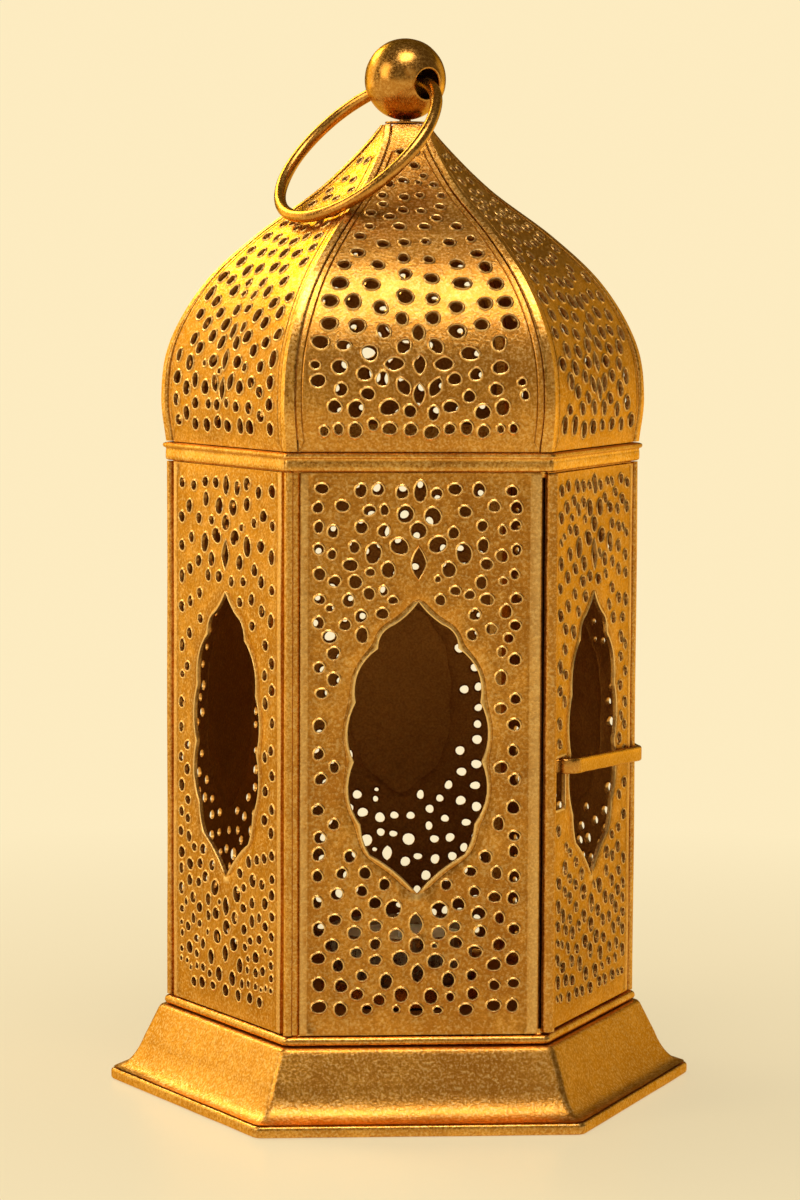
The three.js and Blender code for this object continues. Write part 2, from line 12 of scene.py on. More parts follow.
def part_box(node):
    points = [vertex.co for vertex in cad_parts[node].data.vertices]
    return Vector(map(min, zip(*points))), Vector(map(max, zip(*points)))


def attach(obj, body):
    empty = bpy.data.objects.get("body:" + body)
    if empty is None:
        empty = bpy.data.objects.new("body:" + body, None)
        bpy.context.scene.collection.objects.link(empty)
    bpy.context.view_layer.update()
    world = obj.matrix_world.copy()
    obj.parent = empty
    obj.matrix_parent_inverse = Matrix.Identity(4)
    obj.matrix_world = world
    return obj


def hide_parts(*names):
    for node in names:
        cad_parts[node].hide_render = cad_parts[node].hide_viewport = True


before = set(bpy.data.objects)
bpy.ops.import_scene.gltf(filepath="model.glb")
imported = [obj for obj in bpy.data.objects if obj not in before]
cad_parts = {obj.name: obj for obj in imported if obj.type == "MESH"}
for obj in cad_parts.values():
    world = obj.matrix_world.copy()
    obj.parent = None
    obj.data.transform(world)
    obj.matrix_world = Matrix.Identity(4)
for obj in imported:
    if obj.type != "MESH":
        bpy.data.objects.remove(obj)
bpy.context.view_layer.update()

MM = 0.001
TAU = 2 * math.pi

# ---- Driving dimensions in mm: the solid model's, but for a slightly thinner sheet ----

HALF_FRONT = 32.5
HALF_DEPTH = 57.0
HALF_WIDTH = 61.5
BODY_RADIUS = 56.0
SHEET = 0.9
GAP = 0.3
WALL_BOTTOM = 22.7
WALL_TOP = 163.2
WINDOW_Z = 95.0
DOME_BOTTOM = 168.5
DOME_TOP = 250.5
BALL_RADIUS = 10.6
BALL_Z = 262.3
BORE_RADIUS = 3.8
BORE_DROP = 1.5
BORE_AZIMUTH = math.radians(-57)
HINGE = np.array([33.1, -55.3])
SLOT = (4.4, 12.0, 78.3, 91.3)

CORNERS = [
    ("front_left", -HALF_FRONT, -HALF_DEPTH),
    ("front_right", HALF_FRONT, -HALF_DEPTH),
    ("right", HALF_WIDTH, 0.0),
    ("back_right", HALF_FRONT, HALF_DEPTH),
    ("back_left", -HALF_FRONT, HALF_DEPTH),
    ("left", -HALF_WIDTH, 0.0),
]
WALL_NAMES = ["front", "door", "back_right", "back", "back_left", "front_left"]


def corner(i, k, s):
    """A corner of the plan at two scales: k along the front wall, s in depth and at the side corners."""
    _, x, y = CORNERS[i % 6]
    return np.array([x * (s if y == 0 else k), y * s])


def unit(v):
    return v / np.hypot(*v)


class Wall:
    """One upright face of the body, from its left corner to its right one as seen from outside."""

    def __init__(self, i):
        self.name = WALL_NAMES[i]
        self.start = corner(i, 1, 1)
        self.end = corner(i + 1, 1, 1)
        run = self.end - self.start
        self.length = float(np.hypot(*run))
        self.along = run / self.length
        self.out = np.array([self.along[1], -self.along[0]])

    def place(self, a, b, h):
        """Points at a distance along the wall, a height and a distance out of its face."""
        a, b, h = (np.asarray(v, float) for v in (a, b, h))
        p = self.start + np.outer(a, self.along) + np.outer(h, self.out)
        return np.column_stack([p, b])


WALLS = [Wall(i) for i in range(6)]

# ---- Mesh helpers ----


def make_object(name, verts, faces, materials, slots=None, attributes=None, sharp=40, crisp=()):
    """A smooth-shaded mesh, with sharp edges over an angle in degrees and along the crisp vertex pairs."""
    mesh = bpy.data.meshes.new(name)
    mesh.from_pydata((np.asarray(verts, float) * MM).tolist(), [], [list(map(int, f)) for f in faces])
    for key, values in (attributes or {}).items():
        layer = mesh.attributes.new(key, "FLOAT", "POINT")
        layer.data.foreach_set("value", np.asarray(values, np.float32))
    for material in materials:
        mesh.materials.append(material)
    if slots is not None:
        mesh.polygons.foreach_set("material_index", np.asarray(slots, np.int32))
    mesh.polygons.foreach_set("use_smooth", [True] * len(mesh.polygons))
    mesh.set_sharp_from_angle(angle=math.radians(sharp))
    if crisp:
        for edge in mesh.edges:
            if tuple(sorted(edge.vertices)) in crisp:
                edge.use_edge_sharp = True
    mesh.update()
    obj = bpy.data.objects.new(name, mesh)
    bpy.context.scene.collection.objects.link(obj)
    return obj


def piece(name, body, slot, node, shape, materials, **looks):
    """A visual piece: its shape is vertices and faces, and it stands in for one solid of the model."""
    obj = make_object(name, *shape, materials, **looks)
    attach(obj, body)
    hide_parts(node)


def level(outline, z):
    """The points of a flat outline, all at one height."""
    return np.column_stack([outline, np.full(len(outline), z)])


def circle(radius, z, turn, centre=(0, 0)):
    """Points at the given angles round a centre; the radius may differ from one to the next."""
    return level(np.column_stack([centre[0] + radius * np.cos(turn), centre[1] + radius * np.sin(turn)]), z)


def grid_faces(rows, cols, closed_rows, closed_cols):
    faces = []
    for i in range(rows if closed_rows else rows - 1):
        for j in range(cols if closed_cols else cols - 1):
            n, m = (i + 1) % rows, (j + 1) % cols
            faces.append((i * cols + j, i * cols + m, n * cols + m, n * cols + j))
    return faces


def outward(verts, faces):
    """The faces, turned so that the closed body's volume is positive."""
    v = np.asarray(verts, float)
    volume = 0.0
    for f in faces:
        for j in range(1, len(f) - 1):
            volume += float(np.dot(v[f[0]], np.cross(v[f[j]], v[f[j + 1]])))
    return faces if volume > 0 else [f[::-1] for f in faces]


def loft(rings, closed=False):
    """A body through equal rings of points: closed on itself, or capped at both ends."""
    rings = [np.asarray(r, float) for r in rings]
    cols = len(rings[0])
    verts = np.vstack(rings)
    faces = grid_faces(len(rings), cols, closed, True)
    if not closed:
        faces.append(tuple(range(cols - 1, -1, -1)))
        faces.append(tuple(range((len(rings) - 1) * cols, len(rings) * cols)))
    return verts, outward(verts, faces)


def lathe(profile, count, ripple=None):
    """A closed radius-height profile turned about the axis; points on the axis share one vertex."""
    rings = []
    for j in range(count):
        angle = TAU * j / count
        ring = []
        for n, (r, z) in enumerate(profile):
            extra = ripple(n, angle) if ripple else 0.0
            ring.append(((r + extra) * math.cos(angle), (r + extra) * math.sin(angle), z))
        rings.append(ring)
    verts = np.array(rings).reshape(-1, 3)
    spot = {}
    share = [spot.setdefault(tuple(np.round(v, 5)), k) for k, v in enumerate(verts)]
    used = sorted(set(share))
    number = {old: new for new, old in enumerate(used)}
    faces = []
    for face in grid_faces(count, len(profile), True, True):
        loop = list(dict.fromkeys(number[share[v]] for v in face))
        if len(loop) > 2:
            faces.append(tuple(loop))
    return verts[used], outward(verts[used], faces)


class Waves:
    """A smooth seeded field: the slight unevenness of hand-worked sheet."""

    def __init__(self, seed, size, amount):
        rng = np.random.default_rng(seed)
        self.freq = rng.normal(0, TAU / size, (7, 3))
        self.phase = rng.uniform(0, TAU, 7)
        self.amount = amount / math.sqrt(7)

    def __call__(self, points):
        return self.amount * np.sin(np.asarray(points) @ self.freq.T + self.phase).sum(1)


def resample(points, count, closed=False):
    """The same line through evenly spaced points."""
    p = np.asarray(points, float)
    if closed:
        p = np.vstack([p, p[:1]])
    d = np.r_[0, np.cumsum(np.linalg.norm(np.diff(p, axis=0), axis=1))]
    t = np.linspace(0, d[-1], count, endpoint=not closed)
    return np.column_stack([np.interp(t, d, p[:, c]) for c in range(p.shape[1])])


def inside(poly, pts):
    """Which points lie in a closed polygon."""
    x, y = pts[:, 0:1], pts[:, 1:2]
    x0, y0 = poly[:, 0], poly[:, 1]
    x1, y1 = np.roll(x0, -1), np.roll(y0, -1)
    span = (y0 > y) != (y1 > y)
    rise = np.where(y1 == y0, 1e-9, y1 - y0)
    cross = x < (x1 - x0) * (y - y0) / rise + x0
    return (span & cross).sum(1) % 2 == 1


def distance_to(poly, pts):
    """Distance from each point to a closed polygon's outline."""
    a, b = poly, np.roll(poly, -1, axis=0)
    d = b - a
    rel = pts[:, None, :] - a[None]
    t = np.clip((rel * d).sum(2) / np.maximum((d * d).sum(1), 1e-12), 0, 1)
    return np.linalg.norm(rel - t[..., None] * d, axis=2).min(1)


# ---- Materials ----


class Nodes:
    """Short-hand for a material's node tree."""

    def __init__(self, name):
        self.material = bpy.data.materials.new(name)
        self.material.use_nodes = True
        self.tree = self.material.node_tree
        self.shader = self.tree.nodes["Principled BSDF"]
        self.coords = self.tree.nodes.new("ShaderNodeTexCoord").outputs["Object"]

    def link(self, source, target):
        self.tree.links.new(source, target)

    def feed(self, value, socket):
        """Gives a socket a number, a colour or another node's output."""
        if isinstance(value, (int, float)):
            socket.default_value = value
        elif isinstance(value, tuple):
            socket.default_value = (*value, 1)
        else:
            self.link(value, socket)

    def put(self, name, value):
        self.feed(value, self.shader.inputs[name])

    def node(self, kind, inputs):
        """A new node whose named inputs are set or linked."""
        node = self.tree.nodes.new("ShaderNode" + kind)
        for name, value in inputs.items():
            self.feed(value, node.inputs[name])
        return node

    def noise(self, scale, detail=3.0, rough=0.55, stretch=None):
        vector = self.coords
        if stretch:
            mapping = self.node("Mapping", {"Vector": vector})
            mapping.inputs["Scale"].default_value = stretch
            vector = mapping.outputs["Vector"]
        inputs = {"Scale": scale, "Detail": detail, "Roughness": rough, "Vector": vector}
        return self.node("TexNoise", inputs).outputs["Fac"]

    def ramp(self, source, low, high, to_low=0.0, to_high=1.0):
        inputs = {"Value": source, "From Min": low, "From Max": high, "To Min": to_low, "To Max": to_high}
        return self.node("MapRange", inputs).outputs["Result"]

    def attribute(self, name):
        node = self.tree.nodes.new("ShaderNodeAttribute")
        node.attribute_name = name
        return node.outputs["Fac"]

    def mix(self, factor, a, b):
        node = self.tree.nodes.new("ShaderNodeMix")
        node.data_type = "RGBA"
        for value, index in ((factor, 0), (a, 6), (b, 7)):
            self.feed(value, node.inputs[index])
        return node.outputs[2]

    def math(self, operation, a, b):
        node = self.tree.nodes.new("ShaderNodeMath")
        node.operation = operation
        self.feed(a, node.inputs[0])
        self.feed(b, node.inputs[1])
        return node.outputs[0]

    def bump(self, height, distance, below=None):
        inputs = {"Height": height, "Strength": 1.0, "Distance": distance}
        if below is not None:
            inputs["Normal"] = below
        return self.node("Bump", inputs).outputs["Normal"]


def gold(name, base, deep, pale, roughness, grain=0.00009, patches=45, painted_light=True):
    """Sand-grained gilded metal: mottled colour, with painted shade darkening the creases and recesses and a
    painted highlight lightening the raised edges.
    """
    n = Nodes(name)
    blotch = n.ramp(n.noise(patches, 4), 0.38, 0.66)
    fine = n.noise(1500, 2, 0.6)
    speck = n.noise(520, 3, 0.7)
    colour = n.mix(n.math("MULTIPLY", blotch, 0.55), base, deep)
    colour = n.mix(n.ramp(speck, 0.42, 0.72, 0.0, 0.45), colour, deep)
    colour = n.mix(n.ramp(fine, 0.52, 0.36, 0.0, 0.5), colour, deep)
    colour = n.mix(n.ramp(fine, 0.5, 0.68, 0.0, 0.5), colour, pale)
    if painted_light:
        # Painted shade: a vertex layer darkens the creases, the feet of the lips and the engraved grooves.
        crease_shade = n.math("MULTIPLY", n.attribute("crease_shade"), n.ramp(speck, 0.3, 0.7, 0.5, 1.0))
        colour = n.mix(crease_shade, colour, tuple(c * 0.55 for c in deep))
        # Painted highlight: a vertex layer lightens the hole rims, the lip crests and the hem folds.
        colour = n.mix(n.attribute("edge"), colour, pale)
    n.put("Base Color", colour)
    n.put("Metallic", 1.0)
    n.put("Specular Tint", (1.0, 0.72, 0.36))
    n.put("Roughness", n.ramp(fine, 0.3, 0.7, roughness - 0.07, roughness + 0.09))
    n.put("Normal", n.bump(fine, grain, n.bump(n.noise(110, 2), 0.00018)))
    return n.material


# GOLD_DEEP and GOLD_PALE also give the colours of the painted shade and the painted highlight.
GOLD = (0.78, 0.37, 0.058)
GOLD_DEEP = (0.40, 0.14, 0.014)
GOLD_PALE = (0.99, 0.71, 0.29)
sheet_gold = gold("sheet_gold", GOLD, GOLD_DEEP, GOLD_PALE, 0.38)
trim_gold = gold("trim_gold", (0.84, 0.43, 0.08), GOLD_DEEP, GOLD_PALE, 0.32, 0.00003, painted_light=False)
brass = gold("aged_brass", (0.64, 0.31, 0.06), (0.42, 0.17, 0.025), (0.80, 0.46, 0.13), 0.27,
             0.00001, 60, painted_light=False)
# A darker copy of the gold for the sheets' inner faces and the base floor: painted shade of the lantern's
# inside.
inner_shade = gold("inner_painted_shade", (0.46, 0.19, 0.038), (0.22, 0.075, 0.012), (0.60, 0.30, 0.08), 0.55,
              painted_light=False)
# Near black for the ball's bore: painted shade inside the hole.
bore_shade = gold("bore_painted_shade", (0.09, 0.035, 0.010), (0.04, 0.014, 0.004), (0.16, 0.07, 0.02), 0.5, painted_light=False)
steel = gold("dark_steel", (0.40, 0.23, 0.08), (0.20, 0.10, 0.03), (0.55, 0.36, 0.15), 0.42, painted_light=False)


def tin():
    n = Nodes("tealight_tin")
    fine = n.noise(400, 3)
    n.put("Base Color", n.mix(n.ramp(fine, 0.3, 0.7), (0.36, 0.27, 0.17), (0.62, 0.50, 0.34)))
    n.put("Metallic", 1.0)
    n.put("Roughness", n.ramp(fine, 0.3, 0.7, 0.2, 0.36))
    n.put("Normal", n.bump(n.noise(260, 2), 0.00008))
    return n.material


def wax():
    n = Nodes("candle_wax")
    cloud = n.noise(120, 4)
    n.put("Base Color", n.mix(n.ramp(cloud, 0.35, 0.7), (0.74, 0.55, 0.30), (0.84, 0.68, 0.42)))
    n.put("Roughness", 0.45)
    n.put("Subsurface Weight", 0.25)
    n.put("Subsurface Scale", 0.004)
    n.put("Normal", n.bump(n.noise(300, 3), 0.00006))
    return n.material


def cotton():
    n = Nodes("cotton_wick")
    strands = n.noise(900, 2, 0.5, (1, 1, 0.25))
    n.put("Base Color", n.mix(strands, (0.45, 0.38, 0.28), (0.86, 0.82, 0.72)))
    n.put("Roughness", 0.9)
    n.put("Normal", n.bump(strands, 0.0002))
    return n.material


tin_metal, candle_wax, cotton_wick = tin(), wax(), cotton()

# ---- Pierced sheets ----


class Hole:
    """A punched hole with a raised lip: an uneven rounded, oval or pointed outline."""

    def __init__(self, x, y, rx, ry, tilt=0.0, power=2.0, uneven=0.05, rng=None, fixed=False):
        self.at = np.array([x, y], float)
        self.rx, self.ry, self.tilt, self.power, self.fixed = rx, ry, tilt, power, fixed
        self.phase = rng.uniform(0, TAU, 3) if rng is not None else np.zeros(3)
        self.uneven = uneven

    @property
    def size(self):
        return max(self.rx, self.ry)

    def radius(self, angle):
        u, p = angle - self.tilt, self.power
        return (np.abs(np.cos(u) / self.rx) ** p + np.abs(np.sin(u) / self.ry) ** p) ** (-1 / p)

    def gap(self, other):
        """Clear metal between two holes, along the line through their middles."""
        d = other.at - self.at
        angle = math.atan2(d[1], d[0])
        return float(np.hypot(*d) - self.radius(angle) - other.radius(angle + math.pi))

    def loop(self, extra, count=12):
        t = np.arange(count) * TAU / count
        r = self.radius(t)
        r = r * (1 + self.uneven * (np.cos(2 * t + self.phase[0]) + 0.7 * np.cos(3 * t + self.phase[1])))
        r = r + extra
        return self.at + np.column_stack([r * np.cos(t), r * np.sin(t)])


def spread(count, fixed, samples, weight, rng, rounds=28):
    """Evenly spaced places among weighted samples, round places that are already taken."""
    centres = samples[rng.choice(len(samples), count, replace=False, p=weight / weight.sum())].copy()
    for _ in range(rounds):
        every = np.vstack([centres, fixed])
        near = ((samples[:, None, :] - every[None]) ** 2).sum(2).argmin(1)
        total = np.bincount(near, weight, minlength=len(every))[:count]
        for axis in (0, 1):
            moved = np.bincount(near, weight * samples[:, axis], minlength=len(every))[:count]
            centres[:, axis] = np.where(total > 0, moved / np.maximum(total, 1e-9), centres[:, axis])
    return centres


SETTLE_ROUNDS = 5
NEIGHBOUR_REACH = 9.0             # holes further apart in height can't touch
WANTED_METAL, LEAST_METAL = 0.2, 0.05
SMALLEST_HOLE = 0.6


def settle(holes, lip):
    """Shrinks free holes whose lips would run into a neighbour's, and drops those that still collide."""
    for _ in range(SETTLE_ROUNDS):
        for i, a in enumerate(holes):
            for b in holes[i + 1:]:
                if a.fixed and b.fixed or abs(a.at[1] - b.at[1]) > NEIGHBOUR_REACH:
                    continue
                over = 2 * lip + WANTED_METAL - a.gap(b)
                if over <= 0:
                    continue
                for h in (a, b):
                    if not h.fixed:
                        scale = max(0.8, 1 - 0.35 * over / h.size)
                        h.rx *= scale
                        h.ry *= scale
    kept = [h for h in holes if h.fixed]
    for h in sorted((h for h in holes if not h.fixed), key=lambda one: -one.size):
        if h.size > SMALLEST_HOLE and all(h.gap(k) > 2 * lip + LEAST_METAL for k in kept):
            kept.append(h)
    return kept


class SheetPlan:
    """Everything that the flat triangulation of one sheet must follow."""

    def __init__(self, outline):
        self.outline = np.asarray(outline, float)
        # Besides its height, each point carries a painted highlight value and a painted shade value.
        self.points, self.height, self.edge, self.crease_shade = [], [], [], []
        self.edges, self.cutouts, self.crisp = [], [], []
        self.line(self.outline, 0.0, closed=True)

    def line(self, points, height, edge=0.0, crease_shade=0.0, closed=True, crisp=False):
        """A run of points that the sheet's edges follow, with its height, painted highlight and painted
        shade; a crisp one also breaks the shading.
        """
        start, count = len(self.points), len(points)
        self.points += [tuple(p) for p in points]
        self.height += list(np.broadcast_to(height, count))
        self.edge += [edge] * count
        self.crease_shade += [crease_shade] * count
        self.edges += [(start + j, start + j + 1) for j in range(count - 1)]
        if closed:
            self.edges.append((start + count - 1, start))
        if crisp:
            self.crisp += self.edges[-(count if closed else count - 1):]

    def punch(self, hole, lip, rise):
        """Cuts a hole whose edge is raised into a rounded lip."""
        count = 16 if hole.size > 2.2 else 12
        # Painted highlight on the rim and the crest of the lip, painted shade at its foot.
        self.line(hole.loop(0.0, count), rise * 0.6, 0.5, 0.0)
        self.line(hole.loop(lip * 0.4, count), rise, 0.65)
        self.line(hole.loop(lip, count), 0.0, 0.0, 0.3, crisp=True)
        self.cut(hole.loop(0.0, count))

    def cut(self, outline):
        self.cutouts.append(np.asarray(outline, float))

    def fill(self, step, clear):
        """Adds a plain grid where nothing else is, so that the sheet can undulate."""
        have = np.array(self.points)
        low, high = self.outline.min(0) + step * 0.5, self.outline.max(0) - step * 0.5
        gx, gy = np.meshgrid(np.arange(low[0], high[0], step), np.arange(low[1], high[1], step))
        grid = np.column_stack([gx.ravel(), gy.ravel()])
        grid = grid[inside(self.outline, grid)]
        grid = grid[distance_to(self.outline, grid) > clear]
        grid = grid[~self.cut_out(grid)]
        for g in grid:
            if ((have - g) ** 2).sum(1).min() > clear * clear:
                self.line([g], 0.0, closed=False)

    def cut_out(self, points):
        """Which points fall in an opening."""
        gone = np.zeros(len(points), bool)
        for loop in self.cutouts:
            low, high = loop.min(0), loop.max(0)
            close = np.nonzero(((points >= low) & (points <= high)).all(1))[0]
            if len(close):
                gone[close] |= inside(loop, points[close])
        return gone


def sheet_body(plan, place, thick, waves):
    """Both faces and every edge of the sheet: vertices, faces, face slots and the two painted-light layers,
    painted highlight and painted shade.
    """
    coords = [Vector(p) for p in plan.points]
    flat, _, tris, origin, _, _ = delaunay_2d_cdt(coords, plan.edges, [], 0, 1e-5, True)
    flat = np.array([tuple(v) for v in flat])
    first = np.array([o[0] if o else -1 for o in origin])
    # Points that the triangulation adds take 0.1 for height, painted highlight and painted shade.
    lookup = [np.append(np.array(values, float), 0.1) for values in (plan.height, plan.edge, plan.crease_shade)]
    height, edge, crease_shade = (values[first] for values in lookup)
    tris = np.array([t for t in tris if len(t) == 3])
    centre = flat[tris].mean(1)
    tris = tris[inside(plan.outline, centre) & ~plan.cut_out(centre)]
    a, b, c = (flat[tris[:, j]] for j in range(3))
    area = (b[:, 0] - a[:, 0]) * (c[:, 1] - a[:, 1]) - (b[:, 1] - a[:, 1]) * (c[:, 0] - a[:, 0])
    real = np.abs(area) > 1e-7
    tris, area = tris[real], area[real]
    tris[area < 0] = tris[area < 0][:, ::-1]

    used = np.unique(tris)
    remap = -np.ones(len(flat), int)
    remap[used] = np.arange(len(used))
    tris, flat = remap[tris], flat[used]
    height, edge, crease_shade = height[used], edge[used], crease_shade[used]

    sway = waves(np.column_stack([flat, np.zeros(len(flat))]))
    front = place(flat[:, 0], flat[:, 1], height + sway)
    back = place(flat[:, 0], flat[:, 1], height * 0.8 + sway - thick)
    n = len(flat)
    halves = np.vstack([tris[:, [0, 1]], tris[:, [1, 2]], tris[:, [2, 0]]])
    keys = {(int(i), int(j)) for i, j in halves}
    rim = [(i, j) for i, j in keys if (j, i) not in keys]
    faces = [tuple(t) for t in tris] + [tuple(t[::-1] + n) for t in tris]
    faces += [(j, i, i + n, j + n) for i, j in sorted(rim)]
    # The inner faces take slot 1, the darker inside gold: painted shade.
    slots = [0] * len(tris) + [1] * len(tris) + [0] * len(rim)
    # Painted highlight and painted shade on the outer face only.
    painted_light = {"edge": np.r_[edge, edge * 0], "crease_shade": np.r_[crease_shade, crease_shade * 0]}
    place_of = {int(o): remap[j] for j, o in enumerate(first) if o >= 0 and remap[j] >= 0}
    crisp = set()
    for i, j in plan.crisp:
        if i in place_of and j in place_of:
            pair = sorted((int(place_of[i]), int(place_of[j])))
            crisp |= {tuple(pair), (pair[0] + n, pair[1] + n)}
    return np.vstack([front, back]), faces, slots, painted_light, crisp


# The right half of the scalloped window from its top tip to its bottom tip, relative to its centre:
# each stretch is an arc to the next cusp, bulging out by the given amount.
WINDOW_ARCS = [
    ((0, 36.3), -0.4), ((6, 30.6), 1.2), ((10, 24.7), 2.3), ((15.5, 11.3), 1.8),
    ((15.9, -3.5), 2.2), ((14.2, -19.2), 0.5), ((11.8, -26.8), -0.8), ((0, -36.7), 0),
]


def window_outline(steps=8):
    right = []
    for (a, bulge), (b, _) in zip(WINDOW_ARCS, WINDOW_ARCS[1:]):
        a, b = np.array(a, float), np.array(b, float)
        chord = b - a
        normal = np.array([-chord[1], chord[0]]) / np.hypot(*chord)
        for t in np.arange(steps) / steps:
            right.append(a + chord * t + normal * bulge * 4 * t * (1 - t))
    right.append(np.array(WINDOW_ARCS[-1][0], float))
    left = [p * (-1, 1) for p in right[1:-1][::-1]]
    return np.array(right + left) + (0, WINDOW_Z)


def grown(loop, amount, soften=0):
    """The loop moved outwards along its own normals, softened first for wide offsets."""
    p = np.array(loop)
    for _ in range(soften):
        p = 0.5 * p + 0.25 * (np.roll(p, 1, axis=0) + np.roll(p, -1, axis=0))
    ahead, behind = np.roll(p, -1, axis=0), np.roll(p, 1, axis=0)
    t = ahead - behind
    n = np.column_stack([t[:, 1], -t[:, 0]]) / np.maximum(np.linalg.norm(t, axis=1), 1e-9)[:, None]
    if ((p - p.mean(0)) * n).sum() < 0:
        n = -n
    return p + n * amount


# Motifs: offset from the middle, height, half width, half height, tilt in degrees, and outline power.
WALL_TOP_MOTIF = [
    (0, 140.6, 1.8, 3.9, 0, 1.25), (0, 148.9, 1.9, 2.0, 0, 2), (0, 158.7, 1.5, 2.6, 0, 1.8),
    (4.6, 145.4, 2.3, 1.8, 25, 2), (11.4, 143.4, 1.75, 2.6, 12, 2), (7.6, 139.2, 1.6, 1.85, 0, 2),
    (3.6, 152.9, 1.9, 2.15, 10, 2),
]
WALL_BOTTOM_MOTIF = [
    (0, 50.6, 1.6, 2.5, 0, 1.6), (0, 45.2, 1.8, 1.9, 0, 2), (0, 38.4, 1.5, 2.2, 0, 1.6),
    (0, 28.8, 1.6, 1.5, 0, 2), (5.2, 48.0, 1.6, 1.6, 0, 2), (4.4, 41.6, 1.95, 1.75, 20, 2),
    (7.6, 36.4, 1.45, 1.95, 0, 2), (3.6, 32.6, 1.6, 1.85, 0, 2), (5.8, 54.4, 1.9, 2.1, 30, 2),
]
GORE_MOTIF = [
    (0, 21.5, 1.4, 2.5, 0, 1.4), (4.0, 26.2, 1.5, 2.1, 32, 1.8), (0, 29.6, 1.3, 2.2, 0, 1.8),
    (6.2, 21.5, 2.3, 1.6, 0, 1.7), (4.0, 16.0, 1.4, 2.5, -28, 1.5), (0, 14.4, 1.4, 2.7, 0, 1.4),
]


def motif_holes(motif, rng):
    holes = []
    for dx, y, rx, ry, tilt, power in motif:
        for side in ((1,) if dx == 0 else (1, -1)):
            j = rng.normal(0, 0.2, 2)
            turn = side * math.radians(tilt)
            holes.append(Hole(side * dx + j[0], y + j[1], rx, ry, turn, power, 0.03, rng, True))
    return holes


SAMPLE_STEP = 0.9
CELL_AREA = 0.866                 # of the spacing squared: one hole's share of the sheet


def field(samples, spacing, motif, rng, radius):
    """Holes over the half sheet on one side of its middle, mirrored and slightly shifted, round a motif."""
    fixed = np.array([(dx, y) for dx, y, *_ in motif])
    area = spacing(samples[:, 1]) ** 2
    count = int((SAMPLE_STEP ** 2 / (CELL_AREA * area)).sum() - len(motif))
    dense = 1 / area
    holes = motif_holes(motif, rng)
    for x, y in spread(count, fixed, samples, dense, rng):
        for side in (1, -1):
            j = rng.normal(0, 0.38, 2)
            r = radius(y, rng)
            stretch = rng.uniform(0.88, 1.14)
            holes.append(Hole(side * x + j[0], y + j[1], r * stretch, r / stretch, 0, 2, 0.055, rng))
    return holes


def sample_half(width, low, high):
    """A fine grid over the half sheet."""
    gx, gy = np.meshgrid(np.arange(SAMPLE_STEP / 2, width, SAMPLE_STEP), np.arange(low, high, SAMPLE_STEP))
    return np.column_stack([gx.ravel(), gy.ravel()])


WALL_LIP, WALL_RISE = 0.55, 0.26
WINDOWED = ("front", "door", "front_left")
BLANK_SCALE, BLANK_SHIFT = 0.74, -3.5      # the rear walls' blank field, against a window
WALL_SPACING, WALL_HOLE = 5.2, (1.22, 1.66)
COLUMN_BAND = (71, 120)                    # heights where only two columns of holes stand beside a window
COLUMNS = ((24.3, 0), (20.7, 3.6))         # distance from the wall's middle, and raised by
COLUMN_BOTTOM, COLUMN_STEP, COLUMN_ROWS = 72.5, 7.1, 7
COLUMN_HOLE = (1.2, 1.55)
SIDE_MARGIN, FRONT_EXTRA = 5.6, 0.6        # holes keep clear of the hems, more so by the hinge
REAR_SCALE_LOW, REAR_SCALE_HIGH, REAR_CHANGE_Z = 0.85, 0.58, 112
HEM, FRONT_HEM = 2.1, 2.9


def wall_field(wall, centre):
    """The wall's window, or the smaller plain field of a wall that has none."""
    window = window_outline()
    if wall.name in WINDOWED:
        return window + (centre, 0)
    middle = (0, WINDOW_Z)
    return (window - middle) * BLANK_SCALE + middle + (centre + BLANK_SHIFT, 0)


def wall_holes(wall, seed):
    rng = np.random.default_rng(seed)
    middle = wall.length / 2
    samples = sample_half(middle - 4.7, 27.6, 161.6)
    window = wall_field(wall, 0.0)
    samples = samples[~inside(window, samples)]
    samples = samples[distance_to(window, samples) > 1.9]
    holes = field(samples, lambda y: WALL_SPACING + 0 * y, WALL_TOP_MOTIF + WALL_BOTTOM_MOTIF, rng,
                  lambda y, r: r.uniform(*WALL_HOLE))
    if wall.name in WINDOWED:
        holes = [h for h in holes if h.fixed or not COLUMN_BAND[0] < h.at[1] < COLUMN_BAND[1]]
    for row in range(COLUMN_ROWS if wall.name in WINDOWED else 0):
        for dx, dy in COLUMNS:
            for side in (1, -1):
                x = side * dx + rng.normal(0, 0.3)
                z = COLUMN_BOTTOM + COLUMN_STEP * row + dy + rng.normal(0, 0.6)
                r, stretch = rng.uniform(*COLUMN_HOLE), rng.uniform(0.88, 1.1)
                holes.append(Hole(x, z, r * stretch, r / stretch, 0, 2, 0.055, rng))
    for h in holes:
        h.at = h.at + (middle, 0)
        if wall.name not in WINDOWED:
            scale = REAR_SCALE_HIGH if h.at[1] > REAR_CHANGE_Z else REAR_SCALE_LOW
            h.rx, h.ry = h.rx * scale, h.ry * scale
        edge = WALL_LIP + SIDE_MARGIN + h.size * 1.08
        far = wall.length - edge - (FRONT_EXTRA if wall.name == "front" else 0)
        h.at[0] = min(max(h.at[0], edge), far)
    outline = wall_field(wall, middle)
    places = np.array([h.at for h in holes])
    blocked, room = inside(outline, places), distance_to(outline, places)
    holes = [h for h, b, d in zip(holes, blocked, room) if not b and d > h.size + WALL_LIP + 1.6]
    return settle(holes, WALL_LIP)


